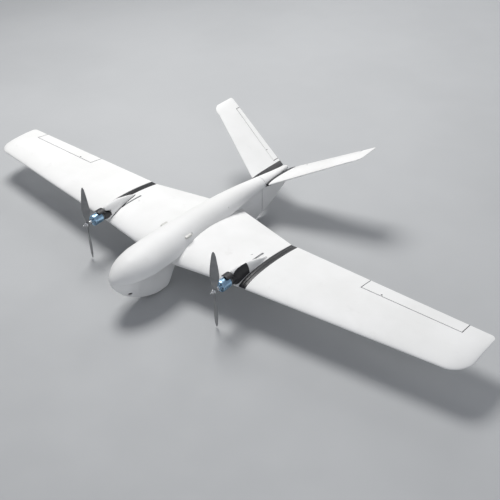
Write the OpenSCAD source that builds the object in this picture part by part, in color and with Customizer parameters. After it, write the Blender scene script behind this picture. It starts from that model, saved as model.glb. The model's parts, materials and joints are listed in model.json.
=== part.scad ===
// Twin-motor fixed wing survey drone with a V-tail.
// +X is the port side, the nose points to -Y, +Z is up.
// The origin is on the ground, under the middle of the bounding box.

/* [Wing] */
// Tip to tip width of the wing
wing_span = 1968; // [1900:4:2040]
// Chord line height of the outer wing above the ground
wing_height = 124; // [120:1:130]
// Distance from the middle of the aircraft's length back to the wing datum
datum_shift = 23.5; // [20:0.5:27]
// Distance from the centre to the joint between centre and outer panels
joint_x = 310; // [306:1:314]
// Width of each black joint rib
rib_w = 12.5; // [8:0.5:12.5]
// Thickness of the wing at the root, as a fraction of its chord
root_thickness = 0.15; // [0.13:0.005:0.16]
// Thickness of the outer wing, as a fraction of its chord
outer_thickness = 0.11; // [0.10:0.005:0.12]
// Outer diameter of the main spar tube
main_spar_d = 16; // [12:1:16]
// Outer diameter of the rear spar tube
rear_spar_d = 8; // [6:1:8]

/* [Control surfaces] */
// Distance from the centre to the inboard end of the aileron
aileron_in_x = 588; // [570:1:610]
// Distance from the centre to the outboard end of the aileron
aileron_out_x = 907; // [880:1:915]
// Gap at the ends of each control surface
end_gap = 1; // [0.8:0.1:1.6]
// Length of the servo arms and control horns, pivot to pivot
arm_r = 14; // [12:0.5:15]

/* [Fuselage] */
// Thickness of the moulded foam top cover
foam_wall = 8; // [6:0.5:10]
// Gap along the parting line of the top cover
part_gap = 0.4; // [0.3:0.1:0.6]
// Position of the seam ahead of the tail cap
tail_seam_y = 206; // [200:1:212]
// Half width of the belly pod
pod_half_w = 22; // [20:0.5:24]

/* [Tail] */
// Dihedral angle of each tail fin
fin_dihedral = 26.3; // [24:0.1:28]
// Length of each tail fin from root to tip
fin_span = 322; // [300:1:330]

/* [Power] */
// Distance from the centre to each motor's axis
motor_x = 277.6; // [276:0.2:279]
// Height of the motor axis above the wing datum
motor_z = 20.5; // [19:0.5:21.5]
// Diameter of the propellers
prop_d = 279.4; // [254:0.2:280]
// Outer diameter of the motor bell
bell_d = 36; // [34:0.5:38]
// Diameter of the motor shafts
shaft_d = 5; // [4:0.5:5]
// Running clearance between a shaft and its bore, on the radius
running = 0.05; // [0.03:0.01:0.08]

/* [Hidden] */
$fn = 48;

foam_white = [0.95, 0.95, 0.94];
part_black = [0.06, 0.06, 0.07];
carbon = [0.10, 0.10, 0.11];
prop_grey = [0.42, 0.43, 0.43];
metal_blue = [0.30, 0.52, 0.74];
silver = [0.78, 0.79, 0.80];

half_span = wing_span / 2;
centre_tip_x = joint_x - rib_w;
outer_root_x = joint_x + rib_w;

// ---- Shared shapes -------------------------------------------------

// Puts a part drawn about the wing datum on the ground.
module datum() {
  translate([0, datum_shift, wing_height]) children();
}

// Draws a port part, or its mirror image for starboard.
module side(s) {
  datum() mirror([s < 0 ? 1 : 0, 0, 0]) children();
}

// A closed solid through a list of rings with equal numbers of points.
module loft(rings) {
  n = len(rings[0]);
  last = (len(rings) - 1) * n;
  points = [for (ring = rings) each ring];
  skin = [
    for (i = [0:len(rings) - 2], j = [0:n - 1])
      let (k = (j + 1) % n, a = i * n, b = a + n)
      each [[a + j, b + k, a + k], [a + j, b + j, b + k]]
  ];
  first_cap = [for (j = [0:n - 1]) j];
  last_cap = [for (j = [n - 1:-1:0]) last + j];
  polyhedron(points, concat([first_cap], skin, [last_cap]));
}

// Value at x of straight lines through rows of [x, value, value, ...].
function along(rows, x, column) = lookup(x, [for (row = rows) [row[0], row[column]]]);

// ---- Wing ----------------------------------------------------------

le_root_y = -284.5;
le_slope = 0.1096;
te_kink_slope = 0.27;
tip_round_x = half_span - 66;
tip_corner_y = -110;
te_corner_r = 14;
te_half_h = 0.7;
wing_root_x = 36;
// Distance from centre, thickness, camber, height of the leading edge and
// height of the trailing edge
wing_rows = [
  [wing_root_x, root_thickness, 0.05, -16, -14],
  [62, root_thickness, 0.05, -16, -13],
  [180, 0.13, 0.035, -10, -7],
  [joint_x, outer_thickness, 0.02, -4, 0],
  [half_span, outer_thickness - 0.01, 0.018, -2, 0]
];
airfoil_steps = 10;

function le_line(x) = le_root_y + le_slope * x;
function tip_u(x) = min(1, max(0, (x - tip_round_x) / (half_span - tip_round_x)));
function le_y(x) = tip_corner_y - (tip_corner_y - le_line(min(x, tip_round_x))) * sqrt(1 - tip_u(x) ^ 2);
function corner_u(x) = min(1, max(0, (x - half_span + te_corner_r) / te_corner_r));
function te_y(x) = max(0, te_kink_slope * (joint_x - 13 - x)) - te_corner_r * (1 - sqrt(1 - corner_u(x) ^ 2));
function tip_thin(x) = sqrt(1 - 0.97 * tip_u(x) ^ 2);
function half_thickness(u) =
  5 * (0.2969 * sqrt(u) - 0.126 * u - 0.3516 * u ^ 2 + 0.2843 * u ^ 3 - 0.1036 * u ^ 4);

// Height of the wing surface at x, a fraction u behind the leading edge.
// side is 1 on the upper surface and -1 on the lower, grow is an offset.
function wing_z(x, u, side, grow) =
  let (chord = te_y(x) - le_y(x))
  along(wing_rows, x, 3) * (1 - u) + along(wing_rows, x, 4) * u
  + 4 * along(wing_rows, x, 2) * chord * u * (1 - u)
  + side * max(0.25,
    along(wing_rows, x, 1) * chord * half_thickness(u) * tip_thin(x) + te_half_h * u + grow);

function wing_ring(x, grow) = [
  for (i = [0:2 * airfoil_steps + 1])
    let (
      upper = i <= airfoil_steps,
      step = upper ? airfoil_steps - i : i - airfoil_steps - 1,
      u = (1 - cos(180 * step / airfoil_steps)) / 2,
      edge = u == 0 ? 0.3 : 0,
      y = le_y(x) - grow + u * (te_y(x) - le_y(x) + 2 * grow)
    )
    [x, y, wing_z(x, u, upper ? 1 : -1, grow + edge)]
];

module wing_solid(stations, grow = 0) {
  loft([for (x = stations) wing_ring(x, grow)]);
}

// A black plate of wing section, set in from the foam skin around it.
module joint_rib(from_x) {
  rib_inset = 1.2;
  difference() {
    translate([from_x, 0, 0]) rotate([90, 0, 90]) linear_extrude(rib_w - part_gap / 2)
      polygon([for (p = wing_ring(from_x + rib_w / 2, -rib_inset)) [p[1], p[2]]]);
    spar_bores(running);
  }
}

main_spar_y = -170;
main_spar_z = 2;
main_spar_half = 600;
rear_spar_y = -75;
rear_spar_z = 1;
rear_spar_half = 430;

module spar_bores(clear) {
  translate([-main_spar_half - 2, main_spar_y, main_spar_z])
    rotate([0, 90, 0]) cylinder(d = main_spar_d + 2 * clear, h = 2 * main_spar_half + 4);
  translate([-rear_spar_half - 2, rear_spar_y, rear_spar_z])
    rotate([0, 90, 0]) cylinder(d = rear_spar_d + 2 * clear, h = 2 * rear_spar_half + 4);
}

module tube_along_x(d, wall, half) {
  rotate([0, 90, 0]) difference() {
    cylinder(d = d, h = 2 * half, center = true);
    cylinder(d = d - 2 * wall, h = 2 * half + 2, center = true);
  }
}

module main_spar() {
  color(carbon) datum() translate([0, main_spar_y, main_spar_z])
    tube_along_x(main_spar_d, 1.5, main_spar_half);
}

module rear_spar() {
  color(carbon) datum() translate([0, rear_spar_y, rear_spar_z]) tube_along_x(rear_spar_d, 1, rear_spar_half);
}

// ---- Control surface hinges ---------------------------------------

// A tapered knuckle between two points, for the round front of a surface.
module knuckle(a, b, r1, r2) {
  v = b - a;
  translate(a) rotate([0, acos(v[2] / norm(v)), atan2(v[1], v[0])]) cylinder(r1 = r1, r2 = r2, h = norm(v));
}

cove_ratio = 1.105;
cove_gap = 0.4;
hinge_pin_r = 0.9;
hinge_pin_out = 4.5;
hinge_pin_in = 3;

// Hinge pins at both ends of a hinge line, standing out past its ends.
module hinge_pins(a, b, r, out) {
  v = (b - a) / norm(b - a);
  knuckle(a - out * v, a + hinge_pin_in * v, r, r);
  knuckle(b - hinge_pin_in * v, b + out * v, r, r);
}

aileron_in = [aileron_in_x, -49.7, 2.2];
aileron_out = [aileron_out_x, -43.7, 1.9];
aileron_r_in = 5.9;
aileron_r_out = 4.9;

// Plan outline of everything behind a hinge line, between its two ends.
module behind(a, b, end_a, end_b, deep) {
  translate([0, 0, -60]) linear_extrude(120)
    polygon([[a[0] + end_a, a[1]], [b[0] - end_b, b[1]], [b[0] - end_b, deep], [a[0] + end_a, deep]]);
}

module aileron_cut() {
  hinge_pins(aileron_in, aileron_out, hinge_pin_r + running, hinge_pin_out + 0.5);
  behind(aileron_in, aileron_out, 0, 0, 30);
  knuckle(aileron_in, aileron_out,
    aileron_r_in * cove_ratio + cove_gap, aileron_r_out * cove_ratio + cove_gap);
}

// ---- Linkage in the frame of a hinge ------------------------------
// The hinge runs along +X through the origin. The servo arm's shaft is
// link_y ahead of it, and the arm, push rod and horn make a parallelogram.

link_y = -62;
pin_r = 0.8;
horn_top = 3.6;

module back_plate(from_z, to_z) {
  translate([0, 5, from_z]) cylinder(d = 5, h = to_z - from_z);
}

module horn_body() {
  difference() {
    union() {
      translate([-1, -3, -arm_r]) cube([2, 6, arm_r - horn_top]);
      translate([-1, 0, -arm_r]) rotate([0, 90, 0]) cylinder(r = 3, h = 2);
      translate([-5, -1, -horn_top - 1.6]) cube([10, 14, 1.6]);
    }
    translate([-2, 0, -arm_r]) rotate([0, 90, 0]) cylinder(r = pin_r + running, h = 4);
  }
}

module servo_arm_body() {
  translate([0, link_y, 0]) difference() {
    union() {
      rotate([0, 90, 0]) translate([0, 0, -1]) cylinder(r = 3.4, h = 2);
      translate([-1, -2.2, -arm_r]) cube([2, 4.4, arm_r]);
      translate([-1, 0, -arm_r]) rotate([0, 90, 0]) cylinder(r = 2.6, h = 2);
    }
    translate([-2, 0, -arm_r]) rotate([0, 90, 0]) cylinder(r = pin_r + running, h = 4);
    translate([-2, 0, 0]) rotate([0, 90, 0]) cylinder(r = 1.5 + running, h = 4);
  }
}

module pushrod_body() {
  rod_x = 2.6;
  translate([rod_x - 0.7, link_y - 1.6, -arm_r - 1]) cube([1.6, 3.2 - link_y, 2]);
  for (y = [0, link_y]) {
    translate([-1.4, y, -arm_r]) rotate([0, 90, 0]) cylinder(r = pin_r, h = rod_x + 1.4);
  }
}

// Servo case lying flat, with its shaft along X at the arm.
module servo_body() {
  translate([-21, link_y - 8, -7]) cube([18.5, 22, 10]);
  translate([-2.5, link_y, 0]) rotate([0, 90, 0]) cylinder(r = 2.6, h = 1.2);
  translate([-2.5, link_y, 0]) rotate([0, 90, 0]) cylinder(r = 1.5, h = 3.5);
}

// Room in the foam for the servo, its arm and the start of the rod, and the
// slot that the horn swings in.
module servo_pocket() {
  translate([-21.2, link_y - 8.2, -30]) cube([18.7, 22.4, 33.2]);
  translate([-2.6, link_y - 9, -30]) cube([7.4, 20, 34]);
  translate([-1.6, -12, -30]) cube([3.2, 12, 30]);
}

aileron_link_x = 654;
aileron_link_t = (aileron_link_x - aileron_in_x) / (aileron_out_x - aileron_in_x);
aileron_link_at = aileron_in + aileron_link_t * (aileron_out - aileron_in);

module aileron_link_frame() {
  v = aileron_out - aileron_in;
  translate(aileron_link_at)
    rotate([0, 0, atan2(v[1], v[0])]) rotate([0, -asin(v[2] / norm(v)), 0]) children();
}

// ---- Outer wing ----------------------------------------------------

tip_steps = [for (a = [0, 22, 42, 58, 72, 82, 90]) tip_round_x + (half_span - tip_round_x) * sin(a)];
outer_stations = concat([outer_root_x, 470, 620, 770], tip_steps);

module outer_wing(s) {
  color(foam_white) side(s) difference() {
    wing_solid(outer_stations);
    aileron_cut();
    spar_bores(running);
    aileron_link_frame() servo_pocket();
  }
}

module outer_rib(s) {
  color(part_black) side(s) joint_rib(joint_x + part_gap / 2);
}

module aileron(s) {
  color(foam_white) side(s) difference() {
    union() {
      intersection() {
        wing_solid([520, 620, 770, tip_round_x, half_span - 40]);
        behind(aileron_in, aileron_out, end_gap, end_gap, 20);
      }
      knuckle(aileron_in + [end_gap, 0, 0], aileron_out - [end_gap, 0, 0], aileron_r_in, aileron_r_out);
      hinge_pins(aileron_in, aileron_out, hinge_pin_r, hinge_pin_out);
    }
    aileron_link_frame() {
      translate([-5.2, -3.2, -30]) cube([10.4, 16.4, 26.6]);
      back_plate(4.2, 20);
    }
  }
}

module aileron_horn(s) {
  color(part_black) side(s) aileron_link_frame() {
    horn_body();
    back_plate(4.2, 6);
  }
}

module aileron_servo(s) {
  color(part_black) side(s) aileron_link_frame() servo_body();
}

module aileron_servo_arm(s) {
  color(silver) side(s) aileron_link_frame() servo_arm_body();
}

module aileron_pushrod(s) {
  color(silver) side(s) aileron_link_frame() pushrod_body();
}

// ---- Centre wing ---------------------------------------------------

module centre_wing_solid(grow = 0) {
  wing_solid([wing_root_x, 62, 100, 180, 250, centre_tip_x], grow);
}

// A shallow straight groove beside the nacelle, for the motor's wires.
module nacelle_groove() {
  groove_depth = 4;
  difference() {
    translate([265, -190, 6]) cube([7, 90, 30]);
    wing_solid([200, 250, 290], -groove_depth);
  }
}

module centre_wing(s) {
  color(foam_white) side(s) difference() {
    centre_wing_solid();
    spar_bores(running);
    nacelle_groove();
    mount_foot();
    translate([248, -130, 0]) cylinder(d = 4, h = 40);
    speed_controller_pocket();
  }
}

module centre_rib(s) {
  color(part_black) side(s) joint_rib(centre_tip_x);
}

// ---- Motor mount and nacelle --------------------------------------

firewall_y = -268;
firewall_t = 4;
mount_r = 17;
screw_pcd = 25;
screw_r = 1.5;
bell_front_y = -308;

module firewall_holes() {
  for (a = [45:90:315])
    rotate([0, a, 0]) translate([screw_pcd / 2, 0, 0])
      rotate([-90, 0, 0]) cylinder(r = screw_r, h = 14, center = true);
}

// The part of the motor mount that is let into the wing's leading edge.
module mount_foot() {
  hull() {
    translate([motor_x, firewall_y + firewall_t - 0.5, motor_z])
      rotate([-90, 0, 0]) cylinder(r = mount_r, h = 0.5, $fn = 32);
    translate([motor_x - 14, -222, -4]) cube([28, 1, 20]);
  }
}

module motor_mount(s) {
  hood_r = 24;
  color(part_black) side(s) {
    difference() {
      union() {
        mount_foot();
        translate([motor_x, firewall_y, motor_z]) rotate([-90, 0, 0]) cylinder(r = mount_r, h = firewall_t);
      }
      translate([motor_x, firewall_y, motor_z]) firewall_holes();
      translate([motor_x, firewall_y - 1, motor_z]) rotate([-90, 0, 0]) cylinder(r = 4, h = 20);
    }
    translate([motor_x, -286, motor_z]) rotate([-90, -125, 0])
      rotate_extrude(angle = 70) translate([hood_r - 1.8, 0]) square([1.8, 26]);
    translate([motor_x - 2, firewall_y, motor_z + mount_r - 3]) cube([4, 8, hood_r - mount_r + 2]);
    intersection() {
      nacelle_shell();
      clamp_room();
    }
  }
}

nacelle_x = 280;
// Distance behind the nose, half width and top height of the nacelle ridge
nacelle_rows = [
  [-258, 8, 36],
  [-254, 14, 44],
  [-236, 17.5, 49],
  [-200, 15.5, 45],
  [-160, 11, 35],
  [-125, 7, 23],
  [-102, 3, 12]
];

function nacelle_ring(row, wall) = [
  for (a = [0:15:180]) [
    nacelle_x - (row[1] - wall) * cos(a) + 0.09 * (row[0] + 225),
    row[0],
    2 + (row[2] - wall - 2) * sin(a)
  ]
];

// The hollow ridge behind the motor, trimmed to the top of the wing.
module nacelle_shell() {
  nacelle_wall = 3;
  difference() {
    loft([for (row = nacelle_rows) nacelle_ring(row, 0)]);
    loft([for (i = [2:4]) nacelle_ring(nacelle_rows[i], nacelle_wall)]);
    wing_solid([200, 250, joint_x]);
    spar_bores(0);
  }
}

// The outboard front corner of the ridge, which belongs to the black mount.
module clamp_room() {
  translate([nacelle_x + 4, -262, 0]) cube([30, 64, 60]);
}

module nacelle_cover(s) {
  color(foam_white) side(s) difference() {
    nacelle_shell();
    mount_foot();
    clamp_room();
  }
}

controller_size = [12, 26, 6.5];
controller_at = [nacelle_x - 3, -202, 10.5];

module speed_controller_pocket() {
  translate(controller_at - [1, 1, 0.3]) cube([controller_size[0] + 2, controller_size[1] + 2, 30]);
}

module speed_controllers() {
  color(part_black) datum() for (m = [0, 1]) mirror([m, 0, 0]) {
    translate(controller_at) cube(controller_size);
  }
}

// ---- Motors and propellers ----------------------------------------

module at_motor(s) {
  datum() translate([s * motor_x, 0, motor_z]) children();
}

module ring_along_y(r_out, r_in, from_y, to_y) {
  translate([0, from_y, 0]) rotate([-90, 0, 0]) difference() {
    cylinder(r = r_out, h = to_y - from_y);
    translate([0, 0, -1]) cylinder(r = r_in, h = to_y - from_y + 2);
  }
}

slots = 9;

module motor_stator(s) {
  color(metal_blue) at_motor(s) {
    ring_along_y(mount_r - 0.5, shaft_d / 2 + running, firewall_y - 4, firewall_y);
    motor_screws();
    ring_along_y(6, shaft_d / 2 + running, firewall_y - 34, firewall_y - 4);
    difference() {
      ring_along_y(14, 5.9, firewall_y - 32, firewall_y - 8);
      for (i = [0:slots - 1])
        rotate([0, i * 360 / slots, 0]) translate([8, firewall_y - 33, -1.2]) cube([8, 26, 2.4]);
    }
  }
}

// Four screws that hold the motor's plate to the firewall.
module motor_screws() {
  for (a = [45:90:315])
    rotate([0, a, 0]) translate([screw_pcd / 2, firewall_y - 5.6, 0]) rotate([-90, 0, 0]) {
      cylinder(r = 2.4, h = 2.6);
      cylinder(r = screw_r, h = 12);
    }
}

module motor_bell(s) {
  color(metal_blue) at_motor(s) difference() {
    union() {
      ring_along_y(bell_d / 2, bell_d / 2 - 2.2, bell_front_y, firewall_y - 6.5);
      ring_along_y(bell_d / 2, shaft_d / 2, bell_front_y, bell_front_y + 3);
    }
    for (a = [0:60:300])
      rotate([0, a, 0]) translate([11.5, bell_front_y - 1, 0]) rotate([-90, 0, 0]) cylinder(r = 3, h = 5);
  }
}

hub_y = -328;
hub_t = 8;
hub_r = 8;

shaft_end_y = -347;
stud_d = 4.4;
washer_t = 1.5;
nut_h = 6;
washer_y = hub_y - hub_t / 2 - washer_t;
nut_front_y = washer_y - nut_h;

// The shaft has a thinner plain end that stands out in front of the nut.
module prop_shaft(s) {
  adapter_r = 6.5;
  color(silver) at_motor(s) {
    translate([0, shaft_end_y, 0])
      rotate([-90, 0, 0]) cylinder(d = stud_d, h = nut_front_y - shaft_end_y);
    translate([0, nut_front_y, 0])
      rotate([-90, 0, 0]) cylinder(d = shaft_d, h = firewall_y + 2 - nut_front_y);
    ring_along_y(adapter_r, shaft_d / 2 - 0.01, hub_y + hub_t / 2, bell_front_y);
  }
}

// Radius as a fraction of the tip, chord and thickness of the blade
blade_rows = [
  [0.04, 9, 4],
  [0.14, 15, 5],
  [0.26, 24, 3.6],
  [0.42, 29, 2.8],
  [0.60, 26, 2.2],
  [0.78, 20, 1.7],
  [0.91, 14, 1.3],
  [0.975, 8, 1],
  [1, 3, 0.7]
];
blade_pitch = 165;

function blade_ring(row) =
  let (
    r = row[0] * prop_d / 2,
    twist = min(42, atan(blade_pitch / (2 * PI * r))),
    chord = row[1],
    t = row[2]
  )
  [
    for (a = [0:30:330])
      let (x = chord * (0.5 * cos(a)), y = 0.5 * t * sin(a) - 0.06 * chord * sin(a) ^ 2)
      [x * cos(twist) - y * sin(twist), hub_y + x * sin(twist) + y * cos(twist), r]
  ];

module propeller(s) {
  lean = s > 0 ? 2.5 : 3.2;
  color(prop_grey) at_motor(s) rotate([0, lean, 0]) difference() {
    union() {
      for (turn = [0, 180]) rotate([0, turn, 0]) loft([for (row = blade_rows) blade_ring(row)]);
      ring_along_y(hub_r, shaft_d / 2, hub_y - hub_t / 2, hub_y + hub_t / 2);
    }
    ring_along_y(shaft_d / 2, 0, hub_y - 10, hub_y + 10);
  }
}

module prop_nut(s) {
  color(silver) at_motor(s) {
    ring_along_y(7, shaft_d / 2, washer_y, washer_y + washer_t);
    difference() {
      translate([0, washer_y, 0]) rotate([90, 0, 0]) cylinder(r = 5.6, h = nut_h, $fn = 6);
      ring_along_y(shaft_d / 2, 0, hub_y - 20, hub_y);
    }
  }
}

// ---- Fuselage ------------------------------------------------------

// Station, half width, top height and crease height of the upper body
body_rows = [
  [-478, 1, 5, 3],
  [-474, 14, 17, 3],
  [-466, 25, 27, 2],
  [-452, 36, 39, 1],
  [-430, 50, 50, 1],
  [-400, 60, 58, 1],
  [-350, 68, 62, 2],
  [-300, 68, 63, 3],
  [-200, 64, 65, 5],
  [-100, 57, 64, 8],
  [12, 48, 58, 10],
  [105, 38, 49, 11],
  [tail_seam_y, 27, 34, 9]
];
arc_step = 12;

function upper_ring(row, wall) = [
  for (a = [0:arc_step:180]) [
    -(row[1] - wall) * cos(a),
    row[0],
    row[3] + part_gap + (row[2] - row[3] - part_gap - wall) * sin(a)
      - (wall > 0 && (a == 0 || a == 180) ? 1 : 0)
  ]
];

function inner_row(y) = [y, along(body_rows, y, 1), along(body_rows, y, 2), along(body_rows, y, 3)];

latch_y = -200;
latch_x = 54;
latch_z = 41;
latch_r = 4;
latch_half = 10;
latch_travel = 6;

// A bar with round ends, from one end's centre to the other's.
module latch_bar(r, from_y, to_y, from_x, to_x) {
  translate([from_x, latch_y + from_y, latch_z - r]) cube([to_x - from_x, to_y - from_y, 2 * r]);
  for (y = [from_y, to_y])
    translate([from_x, latch_y + y, latch_z]) rotate([0, 90, 0]) cylinder(r = r, h = to_x - from_x);
}

module latch_slot() {
  latch_bar(latch_r + 0.4, -latch_half, latch_half + latch_travel, latch_x - 5.4, latch_x + 20);
}

module top_cover() {
  inner_y = [-452, -430, -400, -350, -300, -200, -100, 12, 105, tail_seam_y - 8];
  color(foam_white) datum() difference() {
    loft([for (row = body_rows) upper_ring(row, 0)]);
    loft([for (y = inner_y) upper_ring(inner_row(y), foam_wall)]);
    for (m = [0, 1]) mirror([m, 0, 0]) {
      wing_solid([wing_root_x - 4, 62, 100], part_gap);
      latch_slot();
    }
    translate([28, -2, 36]) rotate([0, 90, 0]) cylinder(d = 4, h = 24);
  }
}

module latch(s) {
  color(part_black) side(s) {
    latch_bar(latch_r, -latch_half, latch_half, latch_x - 5, latch_x + 3);
    translate([latch_x + 3, latch_y - 1.5, latch_z - 3]) cube([1.5, 3, 6]);
  }
}

skid_t = 2;
pod_bottom = skid_t - wing_height;
// Station, half width at the crease, crease height, waist half width,
// waist height, bottom half width and bottom height of the lower body
hull_rows = [
  [-478, 1, 3, 1, 1, 1, -1],
  [-474, 14, 3, 11, -12, 6, -17],
  [-466, 25, 2, 20, -18, 11, -30],
  [-452, 36, 1, 30, -26, 17, -50],
  [-430, 50, 1, 38, -32, 22, -68],
  [-408, 58, 1, 36, -42, 23, -84],
  [-396, 61, 1, 32, -48, 23, -92],
  [-386, 63, 1, 29, -54, pod_half_w, -98],
  [-308, 68, 3, 28, -58, pod_half_w, pod_bottom],
  [-286, 67, 3, 28, -56, pod_half_w, pod_bottom],
  [-231, 65, 4, 28, -42, 20, -54],
  [-200, 64, 5, 28, -38, 18, -46],
  [-100, 57, 8, 26, -32, 16, -42],
  [-20, 50, 10, 22, -28, 12, -48],
  [40, 45, 10, 16, -24, 8, -80],
  [90, 39, 11, 13, -20, 6, -117],
  [110, 37, 11, 12, -18, 5, -wing_height],
  [140, 34, 10, 11, -16, 5, -wing_height],
  [tail_seam_y, 27, 9, 9, -10, 4, -108]
];
flank_steps = 4;

function bezier(a, b, c, t) = (1 - t) ^ 2 * a + 2 * t * (1 - t) * b + t ^ 2 * c;

// Right half of a lower body section, from the crease down to the bottom.
function flank(row) =
  let (
    crease = [row[1], row[2]],
    pull = [row[3] + 0.25 * (row[1] - row[3]), row[2] - 0.35 * (row[2] - row[4])],
    waist = [row[3], row[4]],
    corner = [row[5], row[6]]
  )
  concat(
    [for (i = [0:flank_steps]) bezier(crease, pull, waist, i / flank_steps)],
    [
      waist + 0.8 * (corner - waist),
      [0.85 * corner[0], waist[1] + 0.95 * (corner[1] - waist[1])],
      [0.6 * corner[0], corner[1]]
    ]
  );

function hull_ring(row) =
  let (half = flank(row))
  concat(
    [for (i = [len(half) - 1:-1:0]) [-half[i][0], row[0], half[i][1]]],
    [for (p = half) [p[0], row[0], p[1]]]
  );

bay_floor = -14;
well_floor = -34;
camera_bottom = -92;
moulding_floor = 3;

// The room taken by the belly moulding, below the deep well under the nose.
module below_bays() {
  translate([-100, -480, -140]) cube([200, 260, 140 + well_floor - moulding_floor]);
}

module lower_hull() {
  color(foam_white) datum() difference() {
    loft([for (row = hull_rows) hull_ring(row)]);
    hull_bays();
    below_bays();
    for (m = [0, 1]) mirror([m, 0, 0]) centre_wing_solid();
    spar_bores(running);
  }
}

// The moulding under the nose, with the pod for the survey camera.
module belly_fairing() {
  color(foam_white) datum() difference() {
    intersection() {
      loft([for (row = hull_rows) hull_ring(row)]);
      below_bays();
    }
    hull_bays();
    survey_window();
    nose_camera_frame() translate([0, 0, -4.5]) cylinder(d = nose_camera_d, h = 50);
  }
}

// Equipment bays in the lower body: a wide shelf, a deep well and the pod.
module hull_bays() {
  half = [[26, -440], [44, -400], [44, -296], [34, -286], [34, 20], [30, 80]];
  translate([0, 0, bay_floor]) linear_extrude(60) for (m = [0, 1]) mirror([m, 0, 0])
    polygon(concat([[0, -440]], half, [[0, 80]]));
  translate([-18, -405, well_floor]) cube([36, 330, 60]);
  translate([-15, -380, camera_bottom]) cube([30, 84, 100]);
}

module belly_skid() {
  color(part_black) datum() translate([-13, -306, -wing_height]) cube([26, 18, skid_t]);
}

survey_y = -345;
survey_lens_d = 22;

// Window in the floor of the pod for the survey camera's lens.
module survey_window() {
  translate([0, survey_y, -wing_height]) cylinder(d = survey_lens_d + 2, h = wing_height + camera_bottom + 1);
}

module survey_camera() {
  color([0.12, 0.12, 0.13]) datum() {
    translate([-14, survey_y - 28, camera_bottom]) cube([28, 60, 42]);
    translate([0, survey_y, camera_bottom - 14]) cylinder(d = survey_lens_d, h = 16);
  }
}

nose_camera_d = 15;

// The small camera looks out and down through the port side of the nose.
module nose_camera_frame() {
  translate([26, -436, -46]) rotate([0, 130, -36]) children();
}

module nose_camera() {
  color(part_black) datum() nose_camera_frame() {
    translate([0, 0, -4]) cylinder(d = nose_camera_d, h = 5);
    cylinder(d = 9, h = 3);
  }
}

// ---- Equipment -----------------------------------------------------

tray_t = 3;
tray_top = bay_floor + tray_t;

module equipment_tray() {
  color([0.72, 0.55, 0.36]) datum() difference() {
    translate([-34, -400, bay_floor]) cube([68, 400, tray_t]);
    for (y = [-360, -280]) translate([-32, y, bay_floor - 1]) cube([4, 26, tray_t + 2]);
    for (y = [-360, -280]) translate([28, y, bay_floor - 1]) cube([4, 26, tray_t + 2]);
    translate([0, -120, bay_floor - 1]) cylinder(d = 16, h = tray_t + 2);
  }
}

module battery() {
  color([0.15, 0.17, 0.22]) datum() {
    translate([-24, -390, tray_top]) cube([48, 170, 42]);
    translate([-18, -220, tray_top + 8]) cube([30, 6, 26]);
  }
}

module battery_straps() {
  strap_t = 1.5;
  color([0.10, 0.10, 0.10]) datum() for (y = [-350, -270]) difference() {
    translate([-24 - strap_t, y, tray_top]) cube([48 + 2 * strap_t, 20, 42 + strap_t]);
    translate([-24, y - 1, tray_top - 1]) cube([48, 22, 43]);
  }
}

module autopilot() {
  color([0.14, 0.14, 0.15]) datum() {
    translate([-20, -150, tray_top]) cube([40, 60, 12]);
    for (x = [-12, 0, 12]) translate([x - 4, -148, tray_top + 12]) cube([8, 10, 4]);
  }
}

module gps_module() {
  color([0.88, 0.88, 0.86]) datum() {
    translate([0, -15, tray_top]) cylinder(d = 6, h = 24);
    translate([0, -15, tray_top + 24]) cylinder(d = 50, h = 10);
  }
}

// ---- Tail ----------------------------------------------------------

// Station, half width, top, crease and bottom of the tail cap
cap_rows = [
  [tail_seam_y + part_gap, 27, 34, 9, -10, 9, 4, -108],
  [245, 23, 28, 9, -9, 8, 4, -97],
  [285, 18, 22, 8, -7, 7, 3, -81],
  [320, 14, 18, 7, -5, 6, 3, -63],
  [345, 10, 15, 6, -3, 4, 2, -50],
  [356, 5, 11, 6, 0, 2, 1, -30]
];

function cap_section(row) =
  let (half = flank([row[0], row[1], row[3], row[5], row[4], row[6], row[7]]))
  concat(
    [for (i = [len(half) - 1:-1:0]) [-half[i][0], row[0], half[i][1]]],
    [for (a = [18:18:162]) [-row[1] * cos(a), row[0], row[3] + (row[2] - row[3]) * sin(a)]],
    [for (p = half) [p[0], row[0], p[1]]]
  );

module tail_cap() {
  color(foam_white) datum() difference() {
    loft([for (row = cap_rows) cap_section(row)]);
    for (m = [0, 1]) mirror([m, 0, 0]) bracket_arm();
  }
}

fin_root = [29.3, 0, 12];
fin_le_root_y = 205;
fin_le_slope = 0.415;
fin_te_root_y = 358;
fin_te_slope = 0.23;
fin_t = 0.085;
fin_tip_round = 40;
fin_start = 8;

// Puts a fin part, drawn with its span along +X, at the fin's root.
module fin_frame() {
  translate(fin_root) rotate([0, -fin_dihedral, 0]) children();
}

function fin_u(x) = min(1, max(0, (x - fin_span + fin_tip_round) / fin_tip_round));
function fin_te(x) = fin_te_root_y + fin_te_slope * x
  - 8 * (1 - sqrt(1 - max(0, (x - fin_span + 10) / 10) ^ 2));
function fin_corner(x) = fin_le_root_y + fin_le_slope * (fin_span - fin_tip_round) + 38;
function fin_le_line(x) = fin_le_root_y + fin_le_slope * min(x, fin_span - fin_tip_round);
function fin_le(x) = fin_corner(x) - (fin_corner(x) - fin_le_line(x)) * sqrt(1 - fin_u(x) ^ 2);

function fin_ring(x, grow) = [
  for (i = [0:2 * airfoil_steps + 1])
    let (
      upper = i <= airfoil_steps,
      step = upper ? airfoil_steps - i : i - airfoil_steps - 1,
      u = (1 - cos(180 * step / airfoil_steps)) / 2,
      chord = fin_te(x) - fin_le(x),
      edge = u == 0 ? 0.3 : 0,
      half = fin_t * chord * half_thickness(u) * sqrt(1 - 0.97 * fin_u(x) ^ 2) + 0.6 * u + grow + edge
    )
    [x, fin_le(x) - grow + u * (chord + 2 * grow), (upper ? 1 : -1) * half]
];

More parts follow.
